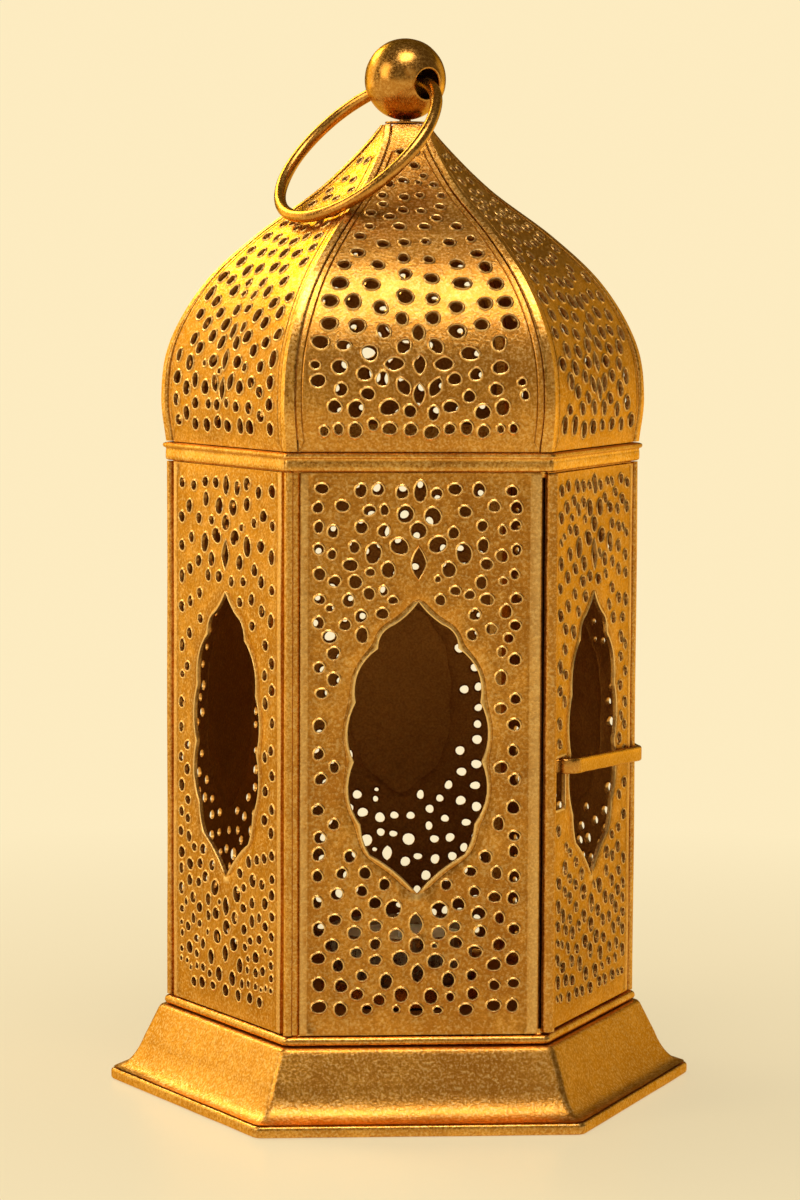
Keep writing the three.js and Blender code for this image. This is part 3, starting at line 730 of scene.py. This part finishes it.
def wall_plan(wall, left, right, bottom, top, seed, keep_clear=None):
    """A wall's sheet: hems up both sides, the window or blank field with its engraved line, and the holes."""
    corners = [(left, bottom), (right, bottom), (right, top), (left, top)]
    outline = []
    for a, b in zip(corners, corners[1:] + corners[:1]):
        a, b = np.array(a), np.array(b)
        steps = max(2, int(np.hypot(*(b - a)) / 3.5))
        outline += [a + (b - a) * t for t in np.arange(steps) / steps]
    plan = SheetPlan(outline)
    z = np.linspace(bottom + 0.6, top - 0.6, 40)
    hem = FRONT_HEM if wall.name == "front" else HEM
    for at, side, width in ((left, 1, HEM), (right, -1, hem)):
        # Each fold line: distance in, height, painted highlight, and painted shade in the fold.
        for distance, height, edge, crease_shade in ((0.4, 0.1, 0.4, 0.0), (width - 0.35, 0.1, 0.2, 0.0),
                                              (width, 0.0, 0.0, 0.45)):
            fold = np.column_stack([np.full(len(z), at + side * distance), z])
            plan.line(fold, height, edge, crease_shade, closed=False, crisp=True)
    window = wall_field(wall, wall.length / 2)
    if wall.name in WINDOWED:
        # The window's rim and lip crest carry painted highlight, its foot painted shade.
        plan.line(window, 0.1, 0.5)
        plan.line(grown(window, 0.3), 0.28, 0.8)
        plan.line(grown(window, 0.85, 1), 0.0, 0.0, 0.35)
        plan.cut(window)
    # The engraved line's groove carries painted shade.
    for offset, height, crease_shade in ((1.1, 0.0, 0.1), (1.3, -0.14, 0.7), (1.5, 0.0, 0.1)):
        plan.line(grown(window, offset, 3), height, 0.0, crease_shade)
    for hole in wall_holes(wall, seed):
        reach = hole.size * 1.08 + WALL_LIP
        blocked = keep_clear is not None and (
            inside(keep_clear, hole.at[None])[0] or distance_to(keep_clear, hole.at[None])[0] < reach)
        if left + HEM + 0.05 + reach < hole.at[0] < right - hem - 0.05 - reach and not blocked:
            plan.punch(hole, WALL_LIP, WALL_RISE)
    return plan


# ---- Walls ----

FRONT_RIGHT_EDGE = 62.9
WALL_INSET = 3.2
BARREL_RADIUS, BARREL_BORE = 1.68, 1.12


def sheet_piece(name, body, node, parts):
    """A piece from what sheet_body gives: gilded outside and on its edges, with a darker gold inside as
    painted shade.
    """
    verts, faces, slots, painted_light, crisp = parts
    piece(name, body, "gold_sheet", node, (verts, faces), [sheet_gold, inner_shade],
          slots=slots, attributes=painted_light, sharp=50, crisp=crisp)


def build_walls():
    for i, wall in enumerate(WALLS):
        if wall.name == "door":
            continue
        right = FRONT_RIGHT_EDGE if wall.name == "front" else wall.length - WALL_INSET
        plan = wall_plan(wall, WALL_INSET, right, WALL_BOTTOM, WALL_TOP, 11 + i)
        plan.fill(3.2, 1.3)
        parts = sheet_body(plan, wall.place, SHEET, Waves(31 + i, 60, 0.12))
        sheet_piece(f"wall_{wall.name}", "root", f"panel_{wall.name}", parts)


def build_door():
    wall = WALLS[1]
    left, right, bottom, top = SLOT

    def slot_loop(grow):
        corners = [(left - grow, bottom - grow), (right + grow, bottom - grow),
                   (right + grow, top + grow), (left - grow, top + grow)]
        return resample(corners, 28, True)

    plan = wall_plan(wall, 3.0, wall.length - 3.3, WALL_BOTTOM + GAP, WALL_TOP - GAP, 12, slot_loop(1.2))
    # The slot's rim and crest carry painted highlight, its foot painted shade.
    plan.line(slot_loop(0.0), 0.1, 0.6)
    plan.line(slot_loop(0.3), 0.25, 0.9)
    plan.line(slot_loop(0.8), 0.0, 0.0, 0.4)
    plan.cut(slot_loop(0.0))
    plan.fill(3.2, 1.3)
    verts, faces, slots, painted_light, crisp = sheet_body(plan, wall.place, SHEET, Waves(37, 60, 0.06))

    # The rolled edge round the hinge rod: up its outside, and back down its bore.
    turn = np.arange(28) * TAU / 28
    heights = np.linspace(WALL_BOTTOM + GAP, WALL_TOP - GAP, 40)
    outer = [circle(BARREL_RADIUS + 0.04 * np.sin(z * 0.31) * np.cos(turn), z, turn, HINGE) for z in heights]
    inner = [circle(BARREL_BORE, z, turn, HINGE) for z in heights[::-1]]
    tube_verts, tube_faces = loft(outer + inner, True)
    start = len(verts)
    verts = np.vstack([verts, tube_verts])
    faces += [tuple(v + start for v in f) for f in tube_faces]
    slots += [0] * len(tube_faces)
    painted_light = {key: np.r_[values, np.zeros(len(tube_verts))] for key, values in painted_light.items()}
    sheet_piece("door_leaf", "door", "door_panel", (verts, faces, slots, painted_light, crisp))


def corner_post(i):
    """A rounded strip over the seam between two walls, with a shadow groove beside its narrow front leg."""
    before, after = WALLS[(i + 5) % 6], WALLS[i]
    point = corner(i, 1, 1)
    bisector = unit(before.out + after.out)
    half = math.acos(float(np.clip(np.dot(bisector, after.out), -1, 1)))

    def arm(along, out):
        return [point + along * d + out * o for d, o in (
            (0.55, 0.3), (1.0, 0.28), (1.25, 0.16), (1.4, -0.1), (1.5, -0.75), (2.4, -0.85), (2.85, -0.9),
            (3.1, -1.15), (4.4, -1.15), (4.4, -1.7))]

    nose = point + bisector * (0.22 / math.cos(half))
    tail = point - bisector * (1.7 / math.cos(half))
    outline = np.array([nose] + arm(after.along, after.out) + [tail] + arm(-before.along, before.out)[::-1])
    return loft([level(outline + 0.05 * math.sin(z * 0.09 + i) * bisector, z)
                 for z in np.linspace(WALL_BOTTOM, WALL_TOP, 30)])


def build_jamb():
    """The strip behind the front wall's edge, curled round the hinge barrel to close the gap to it."""
    wall = WALLS[0]
    outer, inner = [], []
    for along in np.linspace(59.0, 62.6, 6):
        outer.append(wall.start + wall.along * along - wall.out * 1.25)
        inner.append(wall.start + wall.along * along - wall.out * 1.85)
    for angle in np.radians(np.linspace(176, 94, 12)):
        ray = np.array([math.cos(angle), math.sin(angle)])
        outer.append(HINGE + ray * 2.15)
        inner.append(HINGE + ray * 2.75)
    rings = [level(outer + inner[::-1], z) for z in np.linspace(WALL_BOTTOM, WALL_TOP, 24)]
    piece("hinge_strip", "root", "dark_steel", "hinge_jamb", loft(rings), [steel])


def build_posts():
    for i, (name, _, _) in enumerate(CORNERS):
        if name != "front_right":
            piece(f"corner_strip_{name}", "root", "gold_trim", f"post_{name}", corner_post(i),
                  [trim_gold], sharp=50)


# ---- Rings round the plan ----


def eased(a, here, b, steps):
    """Points from a to b along a curve that bends towards the corner between them."""
    return [(1 - t) ** 2 * a + 2 * t * (1 - t) * here + t * t * b for t in np.arange(steps + 1) / steps]


def hex_path(radius, rounding, side_steps=14, corner_steps=5):
    """The plan at a mean radius, with rounded corners."""
    scale = radius / BODY_RADIUS
    path = []
    for i in range(6):
        here, end = corner(i, scale, scale), corner(i + 1, scale, scale)
        back, ahead = unit(corner(i + 5, scale, scale) - here), unit(end - here)
        b = here + ahead * rounding
        path += eased(here + back * rounding, here, b, corner_steps)
        last = end - ahead * rounding
        path += [b + (last - b) * t for t in np.arange(1, side_steps) / side_steps]
    return np.array(path)


def hex_ring(name, node, profile, rounding, seed, uneven, steps, material, slot, sharp=38):
    """A closed radius-height profile carried round the plan, with the unevenness of hand work."""
    waves = Waves(seed, 45, uneven)
    rings = []
    for radius, z in resample(profile, steps, True):
        ring = level(hex_path(radius, rounding), z)
        ring[:, :2] *= 1 + (waves(ring) - uneven)[:, None] / BODY_RADIUS
        rings.append(ring)
    piece(name, "root", slot, node, loft(rings, True), [material], sharp=sharp)


def rounded(points, radius, steps=4):
    """A closed outline with its corners eased."""
    p = np.asarray(points, float)
    out = []
    for i, here in enumerate(p):
        back, ahead = p[i - 1] - here, p[(i + 1) % len(p)] - here
        r = min(radius, np.hypot(*back) * 0.45, np.hypot(*ahead) * 0.45)
        out += eased(here + unit(back) * r, here, here + unit(ahead) * r, steps)
    return np.array(out)


def build_base():
    trim = (trim_gold, "gold_trim")
    rim = rounded([(66.2, 0), (70.15, 0), (70.15, 2.95), (66.2, 2.95)], 0.9)
    hex_ring("foot_rim", "base_rim", rim, 1.6, 51, 0.05, 30, *trim)
    turn = math.pi * 0.3
    flare = []
    for t in np.linspace(0, 1, 9):
        inward = math.sin(t * turn) / math.sin(turn)
        upward = (1 - math.cos(t * turn)) / (1 - math.cos(turn))
        flare.append((69.5 - 7.3 * inward, 3.3 + 8.2 * upward))
    outer = flare + [(60.2, 16.0), (58.75, 19.1), (58.4, 19.6), (57.9, 19.85), (55, 19.85), (50.1, 19.85)]
    inner = [(50.1, 18.8), (56.8, 18.7), (59.2, 14.5)] + [(r - 1.7, z) for r, z in flare[::-1]]
    hex_ring("flared_skirt", "base_skirt", outer + inner, 1.7, 52, 0.1, 70, sheet_gold, "gold_sheet", 45)
    sill = [(53.6, 20.25), (56.6, 20.25), (57.1, 20.7), (57.15, 21.3), (56.9, 21.9), (56.3, 22.35),
            (54.8, 22.4), (54.75, 23.8), (54.1, 23.8), (53.6, 22.9)]
    hex_ring("sill_moulding", "sill_bead", sill, 1.2, 53, 0.04, 26, *trim)
    cornice = [(54.1, 162.1), (54.75, 162.1), (54.8, 163.5), (56.4, 163.55), (56.75, 163.8), (56.85, 164.3),
               (56.8, 166.2), (56.6, 166.6), (56.85, 166.75), (57.45, 167.0), (57.55, 167.45), (57.4, 167.9),
               (56.8, 168.15), (54.9, 168.3), (54.75, 170.6), (54.2, 170.6), (54.1, 167.2)]
    hex_ring("cornice_moulding", "cornice", cornice, 1.2, 54, 0.04, 44, *trim)


# ---- Dome ----

DOME_CURVE = np.array([
    (1, 1, DOME_BOTTOM), (1.02, 1.02, 180), (0.985, 0.985, 194), (0.83, 0.83, 210),
    (0.62, 0.62, 222), (0.36, 0.355, 234), (0.185, 0.155, 246), (0.155, 0.095, DOME_TOP),
])


def dome_at(t):
    """The dome's curve: plan scales along the front wall and in depth, and the height."""
    pts, last = DOME_CURVE, len(DOME_CURVE) - 1
    i = min(int(t * last), last - 1)
    w = t * last - i
    p1, p2 = pts[i], pts[i + 1]
    p0 = pts[i - 1] if i > 0 else 2 * p1 - p2
    p3 = pts[i + 2] if i + 2 <= last else 2 * p2 - p1
    d0, d1, d2 = (math.sqrt(np.linalg.norm(b - a)) for a, b in ((p0, p1), (p1, p2), (p2, p3)))
    m1 = ((p1 - p0) / d0 - (p2 - p0) / (d0 + d1) + (p2 - p1) / d1) * d1
    m2 = ((p2 - p1) / d1 - (p3 - p1) / (d1 + d2) + (p3 - p2) / d2) * d1
    c2 = -3 * p1 + 3 * p2 - 2 * m1 - m2
    c3 = 2 * p1 - 2 * p2 + m1 + m2
    return p1 + m1 * w + c2 * w * w + c3 * w ** 3


RIB_BOTTOM, RIB_TOP = 2.6, 1.2


class Gore:
    """One face of the dome, unrolled: across from its middle, and up along its curve."""

    def __init__(self, i, count=160):
        t = np.linspace(0, 1, count)
        levels = np.array([dome_at(v) for v in t])
        a = np.array([corner(i, k, s) for k, s, _ in levels])
        b = np.array([corner(i + 1, k, s) for k, s, _ in levels])
        self.middle = (a + b) / 2
        run = b - a
        width = np.linalg.norm(run, axis=1)
        self.along = run / width[:, None]
        self.out = np.column_stack([self.along[:, 1], -self.along[:, 0]])
        self.z = levels[:, 2]
        reach = (self.middle * self.out).sum(1)
        dz, dr = np.gradient(self.z), np.gradient(reach)
        length = np.hypot(dz, dr)
        self.rise = np.column_stack([dz, -dr]) / length[:, None]
        self.b = np.r_[0, np.cumsum(np.hypot(np.diff(self.z), np.diff(reach)))]
        self.half = width / 2 - (RIB_BOTTOM + (RIB_TOP - RIB_BOTTOM) * t) - GAP

    def at(self, values, b):
        return np.interp(b, self.b, values)

    def place(self, a, b, h):
        """Points at a distance across, a distance up the curve and a distance out of the face."""
        a, b, h = (np.asarray(v, float) for v in (a, b, h))
        curves = (*self.middle.T, *self.along.T, *self.out.T, self.z, *self.rise.T)
        mx, my, ex, ey, ox, oy, z, rx, rz = (self.at(v, b) for v in curves)
        return np.column_stack([mx + ex * a + ox * h * rx, my + ey * a + oy * h * rx, z + h * rz])

    def edge(self, inset, count=46):
        """Points up one side of the gore, an inset in from its edge."""
        b = np.linspace(0, self.b[-1], count)
        return np.column_stack([np.maximum(self.at(self.half, b) - inset, 0.5), b])


GORE_LIP, GORE_RISE = 0.6, 0.3
REAR_GORE_SCALE = 0.6
FLANGE_Z = 171.2                  # height where the ribs' hidden inner flanges begin


def gore_plan(gore, seed, shrink):
    """A gore's sheet: an engraved line up each side, and holes that get smaller and closer upwards."""
    rng = np.random.default_rng(seed)
    top = gore.b[-1]
    side = gore.edge(0.0)
    plan = SheetPlan(np.vstack([side, side[::-1] * (-1, 1)]))
    # The engraved line's groove carries painted shade.
    for inset, height, crease_shade in ((1.0, 0.0, 0.1), (1.3, -0.2, 0.9), (1.6, 0.0, 0.1)):
        rail = gore.edge(inset)
        rail = rail[(rail[:, 1] > 0.9) & (rail[:, 1] < top - 9)]
        plan.line(rail, height, 0.0, crease_shade, closed=False, crisp=True)
        plan.line(rail * (-1, 1), height, 0.0, crease_shade, closed=False, crisp=True)

    samples = sample_half(gore.half.max(), 3.4, top - 7)
    samples = samples[samples[:, 0] < gore.at(gore.half, samples[:, 1]) - 1.7]

    def spacing(y):
        return np.interp(y, [0, 45, 62, top], [6.3, 6.2, 5.0, 4.2])

    def radius(y, r):
        size = np.interp(y, [0, 40, 58, top], [1.8, 1.7, 1.25, 0.85]) * shrink
        return size * r.uniform(0.8, 1.16)

    holes = field(samples, spacing, GORE_MOTIF, rng, radius)
    room = [h for h in holes if abs(h.at[0]) + h.size + GORE_LIP < gore.at(gore.half, h.at[1]) - 1.75]
    room = [h for h in room if GORE_LIP + h.size + 0.5 < h.at[1] < top - 4]
    for hole in settle(room, GORE_LIP):
        plan.punch(hole, GORE_LIP, GORE_RISE)
    return plan


def build_dome():
    for i, wall in enumerate(WALLS):
        gore = Gore(i)
        plan = gore_plan(gore, 71 + i, 1.0 if wall.name in WINDOWED else REAR_GORE_SCALE)
        plan.fill(2.6, 1.2)
        name = "front_right" if wall.name == "door" else wall.name
        parts = sheet_body(plan, gore.place, SHEET, Waves(81 + i, 55, 0.1))
        sheet_piece(f"dome_sheet_{name}", "root", f"dome_gore_{name}", parts)
    for i, (name, _, _) in enumerate(CORNERS):
        piece(f"dome_strip_{name}", "root", "gold_trim", f"dome_rib_{name}", dome_rib(i),
              [trim_gold], sharp=32)


def dome_rib(i):
    """A raised strip over a seam of the dome: two flats with eased edges that meet in a low ridge."""
    rings = []
    for t in np.linspace(0, 1, 90):
        k, s, z = dome_at(t)
        half = RIB_BOTTOM + (RIB_TOP - RIB_BOTTOM) * t
        here = corner(i, k, s)
        hidden = min(max((z - FLANGE_Z) / 1.5, 0), 1) * (1 - t)
        flange, depth = 0.05 + 1.15 * hidden, -1.15 - 0.6 * hidden
        before, after = unit(corner(i + 5, k, s) - here), unit(corner(i + 1, k, s) - here)
        out_before = np.array([-before[1], before[0]])
        out_after = np.array([after[1], -after[0]])
        bisector = unit(out_before + out_after)
        mitre = 1 / float(np.dot(bisector, out_after))
        side = ((half * 0.3, 0.44), (half * 0.62, 0.42), (half * 0.8, 0.36), (half * 0.93, 0.2),
                (half, -0.1), (half, -1.05), (half + flange * 0.9, -1.05 - flange * 0.1),
                (half + flange, depth), (half, depth))
        ring = [here + bisector * 0.46 * mitre]
        ring += [here + after * d + out_after * o for d, o in side]
        ring += [here + bisector * depth * mitre]
        ring += [here + before * d + out_before * o for d, o in side[::-1]]
        rings.append(level(ring, z))
    return loft(rings)


# ---- Finial and ring ----

MOUTH_DEPTH, MOUTH_EASE = 1.2, 0.55        # how far the bore's eased lip reaches in, and spreads out


def build_finial():
    collar = rounded([(1.9, 250.85), (5.2, 250.85), (5.2, 251.35), (1.9, 251.35)], 0.25)
    piece("neck_washer", "root", "aged_brass", "neck_collar", lathe(collar, 48), [brass], sharp=50)

    # The ball, unrolled from the bore: rings from one mouth over the middle to the other, and back inside.
    turn = np.arange(72) * TAU / 72

    def ring_at(radius, sunk=0.0, share=1.0):
        """A ring round the bore's axis, sunk below the ball's surface or at a share of its depth."""
        centre = -BORE_DROP * (BALL_RADIUS - radius) / (BALL_RADIUS - BORE_RADIUS)
        y, z = radius * np.cos(turn), radius * np.sin(turn) + centre
        x = (np.sqrt(np.maximum(BALL_RADIUS ** 2 - y * y - z * z, 0)) - sunk) * share
        return np.column_stack([x, y, z])

    lip = [(0.0, MOUTH_DEPTH), (0.0, 0.6), (0.1, 0.25), (0.28, 0.07)]
    widening = np.sin(np.linspace(0, 1, 26) * math.pi / 2)
    radii = BORE_RADIUS + MOUTH_EASE + (BALL_RADIUS - BORE_RADIUS - MOUTH_EASE) * widening
    half = [ring_at(BORE_RADIUS + wider, sunk) for wider, sunk in lip] + [ring_at(r) for r in radii]
    other = [r * (-1, 1, 1) for r in half[:-1]][::-1]
    bore = [ring_at(BORE_RADIUS, MOUTH_DEPTH, share) for share in np.linspace(-0.9, 0.9, 7)]
    verts, faces = loft(half + other + bore, True)
    reach = np.linalg.norm(verts, axis=1)
    dents = np.where(reach > BALL_RADIUS - 0.3, Waves(91, 9, 0.045)(verts) - 0.06, 0.0)
    verts = verts + verts / reach[:, None] * dents[:, None]
    middles = np.array([verts[list(f)].mean(axis=0) for f in faces])
    # Faces inside the bore take the near-black painted shade.
    in_bore = np.hypot(middles[:, 1], middles[:, 2] + BORE_DROP) < BORE_RADIUS + 0.02
    c, s = math.cos(BORE_AZIMUTH), math.sin(BORE_AZIMUTH)
    x, y, z = verts.T
    turned = np.column_stack([x * c - y * s, x * s + y * c, z + BALL_Z])
    piece("finial_orb", "root", "aged_brass", "finial_ball", (turned, faces), [brass, bore_shade],
          slots=in_bore.astype(int), sharp=60)


def build_ring():
    radius, wire, drop = 24.6, 1.6, 1.35
    tilt, swing = math.radians(46), math.radians(-3)
    axis = Vector((math.cos(BORE_AZIMUTH), math.sin(BORE_AZIMUTH), 0))
    level = Vector((axis.y, -axis.x, 0))
    down = level * math.cos(tilt)
    down.z = -math.sin(tilt)
    normal = axis.cross(down)
    turn = Matrix.Rotation(swing, 3, normal)
    across, hang = turn @ axis, turn @ down
    centre = np.array(hang) * (radius - drop) + (0, 0, BALL_Z - BORE_DROP)
    across, hang, normal = np.array(across), np.array(hang), np.array(normal)
    rings = []
    b = np.arange(20) * TAU / 20
    for a in TAU * np.arange(168) / 168:
        spoke = across * math.cos(a) + hang * math.sin(a)
        reach = radius + 0.05 * math.sin(3 * a + 0.7)
        middle = centre + spoke * reach + normal * 0.06 * math.sin(2 * a + 1.1)
        thick = wire - 0.03 + 0.03 * math.sin(5 * a) + 0.02 * math.sin(9 * a + 2)
        rings.append(middle + thick * (np.outer(np.cos(b), spoke) + np.outer(np.sin(b), normal)))
    piece("carrying_ring", "ring", "aged_brass", "ring_handle", loft(rings, True), [brass], sharp=60)


# ---- Latch ----


def build_latch():
    wall, following = WALLS[1], WALLS[2]
    turn = math.acos(float(np.dot(wall.out, following.out)))
    along, out, hook = 13.9, -0.5, 3.3
    hook_z, bar_z, corner_z = 88.9, 88.5, 86.0
    stand_off, tail, tail_rise = 1.5, 9, 3.6

    # The path, as distances along the door, out of it and up: hook, bar, bend round the corner, and tail.
    path = []
    for t in np.arange(15) / 14:
        angle = -math.pi / 2 - math.pi * t
        path.append((along + hook * math.cos(angle), out + hook * math.sin(angle), hook_z))
    x0, o0 = along + 8, out + hook - 0.2
    for t in (0.0, 0.2, 0.4, 0.6, 0.8):
        path.append((x0 + (wall.length - x0) * t, o0 + (stand_off - o0) * t, bar_z + (corner_z - bar_z) * t))
    for t in np.arange(9) / 8:
        path.append((wall.length + stand_off * math.sin(turn * t), stand_off * math.cos(turn * t), corner_z))
    x1, o1, _ = path[-1]
    for t in (0.25, 0.5, 0.75, 1.0):
        reach = tail * t
        path.append((x1 + reach * math.cos(turn), o1 - reach * math.sin(turn), corner_z + tail_rise * t * t))
    smooth = resample(path, 90)
    for _ in range(3):
        smooth[1:-1] = 0.5 * smooth[1:-1] + 0.25 * (smooth[:-2] + smooth[2:])
    section = rounded([(0.8, -1.95), (0.8, 1.95), (-0.8, 1.95), (-0.8, -1.95)], 0.62, 3)
    rings = []
    for j, p in enumerate(smooth):
        d = smooth[min(j + 1, len(smooth) - 1)] - smooth[max(j - 1, 0)]
        side = np.array([d[1], -d[0]]) / math.hypot(d[0], d[1])
        near_end = min(j, len(smooth) - 1 - j)
        taper = (0.55, 0.8, 0.93)[near_end] if near_end < 3 else 1.0
        taper *= 1 + 0.02 * math.sin(j * 0.55)
        rings.append(wall.place(p[0] + side[0] * section[:, 0] * taper, p[2] + section[:, 1] * taper,
                                p[1] + side[1] * section[:, 0] * taper))
    piece("latch_hook_bar", "latch", "aged_brass", "latch_bar", loft(rings), [brass], sharp=45)


# ---- Candle ----


def build_candle():
    low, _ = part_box("candle_cup")
    base = low.z / MM
    cup = rounded([(1.8, base), (20.2, base), (21, base + 0.8), (21.55, base + 5.9), (20.85, base + 5.9),
                   (20.2, base + 0.8), (1.8, base + 0.75)], 0.3, 3)
    piece("candle_dish", "root", "aged_brass", "candle_cup", lathe(cup, 96), [brass], sharp=50)

    low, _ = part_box("tealight_case")
    base, r = low.z / MM, 19.0
    case = [(0.0, base), (r - 1.2, base), (r - 0.6, base + 0.25), (r - 0.35, base + 0.8), (r - 0.3, base + 4),
            (r - 0.2, base + 8), (r - 0.15, base + 12), (r - 0.1, base + 15.2), (r + 0.3, base + 15.5),
            (r + 0.38, base + 15.8), (r + 0.1, base + 15.95), (r - 0.45, base + 15.8), (r - 0.6, base + 12),
            (r - 0.65, base + 8), (r - 0.7, base + 4), (r - 0.75, base + 0.5), (0.0, base + 0.45)]

    def flutes(n, angle):
        """The pressed ripples round the case's outer wall, which are points 4 to 6 of its profile."""
        return 0.12 * math.cos(angle * 60) - 0.12 if 4 <= n <= 6 else 0.0

    piece("tealight_cup", "tealight", "tealight_tin", "tealight_case", lathe(case, 240, flutes), [tin_metal],
          sharp=50)

    low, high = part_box("tealight_wax")
    bottom, rim = low.z / MM, high.z / MM
    body = [(1.25, bottom), (17.85, bottom), (17.9, rim - 0.1), (17.6, rim - 0.35), (16.6, rim - 0.5),
            (10, rim - 0.55), (4, rim - 0.6), (2, rim - 0.45), (1.25, rim - 0.2)]
    piece("wax_fill", "tealight", "candle_wax", "tealight_wax", lathe(body, 96), [candle_wax], sharp=50)

    low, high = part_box("tealight_wick")
    bottom, top = low.z / MM, high.z / MM
    rings = []
    b = np.arange(14) * TAU / 14
    for t in np.linspace(0, 1, 26):
        z = bottom + (top - bottom) * t
        thick = (0.78 + 0.08 * np.cos(3 * b + z * 1.9)) * (1 if t < 0.92 else 0.75)
        rings.append(circle(thick, z, b))
    piece("wick_cord", "tealight", "cotton_wick", "tealight_wick", loft(rings), [cotton_wick], sharp=60)


build_walls()
build_door()
build_jamb()
build_posts()
build_base()
build_dome()
build_finial()
build_ring()
build_latch()
build_candle()

# Pieces out of sight keep the solid model's shape with a finish of their own.
for node, material in (("base_floor", inner_shade), ("cup_rivet", brass), ("hinge_rod", steel),
                       ("door_stop", steel), ("finial_stud", steel), ("finial_nut", steel)):
    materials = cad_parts[node].data.materials
    materials.clear()
    materials.append(material)

# ---- Studio ----

BACKDROP = (0.985, 0.835, 0.53)


def floor_cream():
    """A pale tabletop that turns into the backdrop's own even light away from the object."""
    n = Nodes("floor_cream")
    fine = n.noise(900, 2)
    n.put("Base Color", n.mix(n.ramp(fine, 0.3, 0.7), (0.90, 0.74, 0.44), (0.88, 0.72, 0.42)))
    n.put("Roughness", 0.3)
    n.put("IOR", 1.6)
    glow = n.tree.nodes.new("ShaderNodeEmission")
    glow.inputs["Color"].default_value = (*BACKDROP, 1)
    away = n.tree.nodes.new("ShaderNodeVectorMath")
    away.operation = "LENGTH"
    n.link(n.coords, away.inputs[0])
    blend = n.tree.nodes.new("ShaderNodeMixShader")
    n.link(n.ramp(away.outputs["Value"], 0.08, 0.45, 0.62, 1.0), blend.inputs[0])
    n.link(n.shader.outputs[0], blend.inputs[1])
    n.link(glow.outputs[0], blend.inputs[2])
    n.link(blend.outputs[0], n.tree.nodes["Material Output"].inputs["Surface"])
    return n.material


def add_floor():
    reach = 6000
    verts = [(-reach, -reach, 0), (reach, -reach, 0), (reach, reach, 0), (-reach, reach, 0)]
    floor = make_object("studio_floor", verts, [(0, 1, 2, 3)], [floor_cream()])
    floor.location.z = -0.0001


def add_light(name, place, target, size, power, colour):
    data = bpy.data.lights.new(name, "AREA")
    data.shape = "RECTANGLE"
    data.size, data.size_y = size
    data.energy = power
    data.color = colour
    lamp = bpy.data.objects.new(name, data)
    bpy.context.scene.collection.objects.link(lamp)
    lamp.location = place
    lamp.rotation_euler = (Vector(target) - Vector(place)).to_track_quat("-Z", "Y").to_euler()


def add_world():
    world = bpy.data.worlds.new("studio")
    world.use_nodes = True
    tree = world.node_tree
    back = tree.nodes["Background"]
    back.inputs["Color"].default_value = (*BACKDROP, 1)
    back.inputs["Strength"].default_value = 1.0
    dim = tree.nodes.new("ShaderNodeBackground")
    dim.inputs["Color"].default_value = (1.0, 0.86, 0.62, 1)
    dim.inputs["Strength"].default_value = 0.13
    path = tree.nodes.new("ShaderNodeLightPath")
    mix = tree.nodes.new("ShaderNodeMixShader")
    tree.links.new(path.outputs["Is Camera Ray"], mix.inputs[0])
    tree.links.new(dim.outputs[0], mix.inputs[1])
    tree.links.new(back.outputs[0], mix.inputs[2])
    tree.links.new(mix.outputs[0], tree.nodes["World Output"].inputs["Surface"])
    bpy.context.scene.world = world


def add_camera():
    """The photo's camera, as fitted to the corners of the hexagon."""
    place, target = Vector((-67.5, -976.1, 214.3)) * MM, Vector((0, 0, 126.7)) * MM
    roll = math.radians(0.279)
    forward = (target - place).normalized()
    right = forward.cross(Vector((0, 0, 1))).normalized()
    up = right.cross(forward)
    right, up = right * math.cos(roll) + up * math.sin(roll), up * math.cos(roll) - right * math.sin(roll)
    data = bpy.data.cameras.new("camera")
    data.sensor_width = 36
    data.lens = 112.23
    data.shift_x = -0.0023
    camera = bpy.data.objects.new("camera", data)
    camera.matrix_world = Matrix((right, up, -forward)).transposed().to_4x4()
    camera.location = place
    bpy.context.scene.collection.objects.link(camera)
    bpy.context.scene.camera = camera


add_floor()
add_world()
add_light("key_left", (-0.85, -0.35, 0.55), (0, 0, 0.14), (0.4, 0.6), 3.1, (1.0, 0.87, 0.60))
add_light("back_left", (-0.9, 0.62, 0.5), (0, 0, 0.13), (0.8, 0.9), 4.1, (1.0, 0.89, 0.62))
add_light("back_right", (0.9, 0.7, 0.32), (0, 0, 0.12), (0.6, 0.9), 1.2, (1.0, 0.86, 0.56))
add_light("front_soft", (0.35, -1.5, 0.75), (0, 0, 0.12), (0.9, 0.6), 1.0, (1.0, 0.86, 0.62))
add_light("top_soft", (0.0, -0.42, 1.1), (0, 0, 0.1), (0.5, 0.4), 5.2, (1.0, 0.94, 0.84))
add_light("dome_glint", (-0.53, 0.68, 0.80), (0, 0, 0.2), (0.45, 0.3), 4.2, (1.0, 0.98, 0.98))
add_camera()
bpy.context.scene.view_settings.view_transform = "Standard"
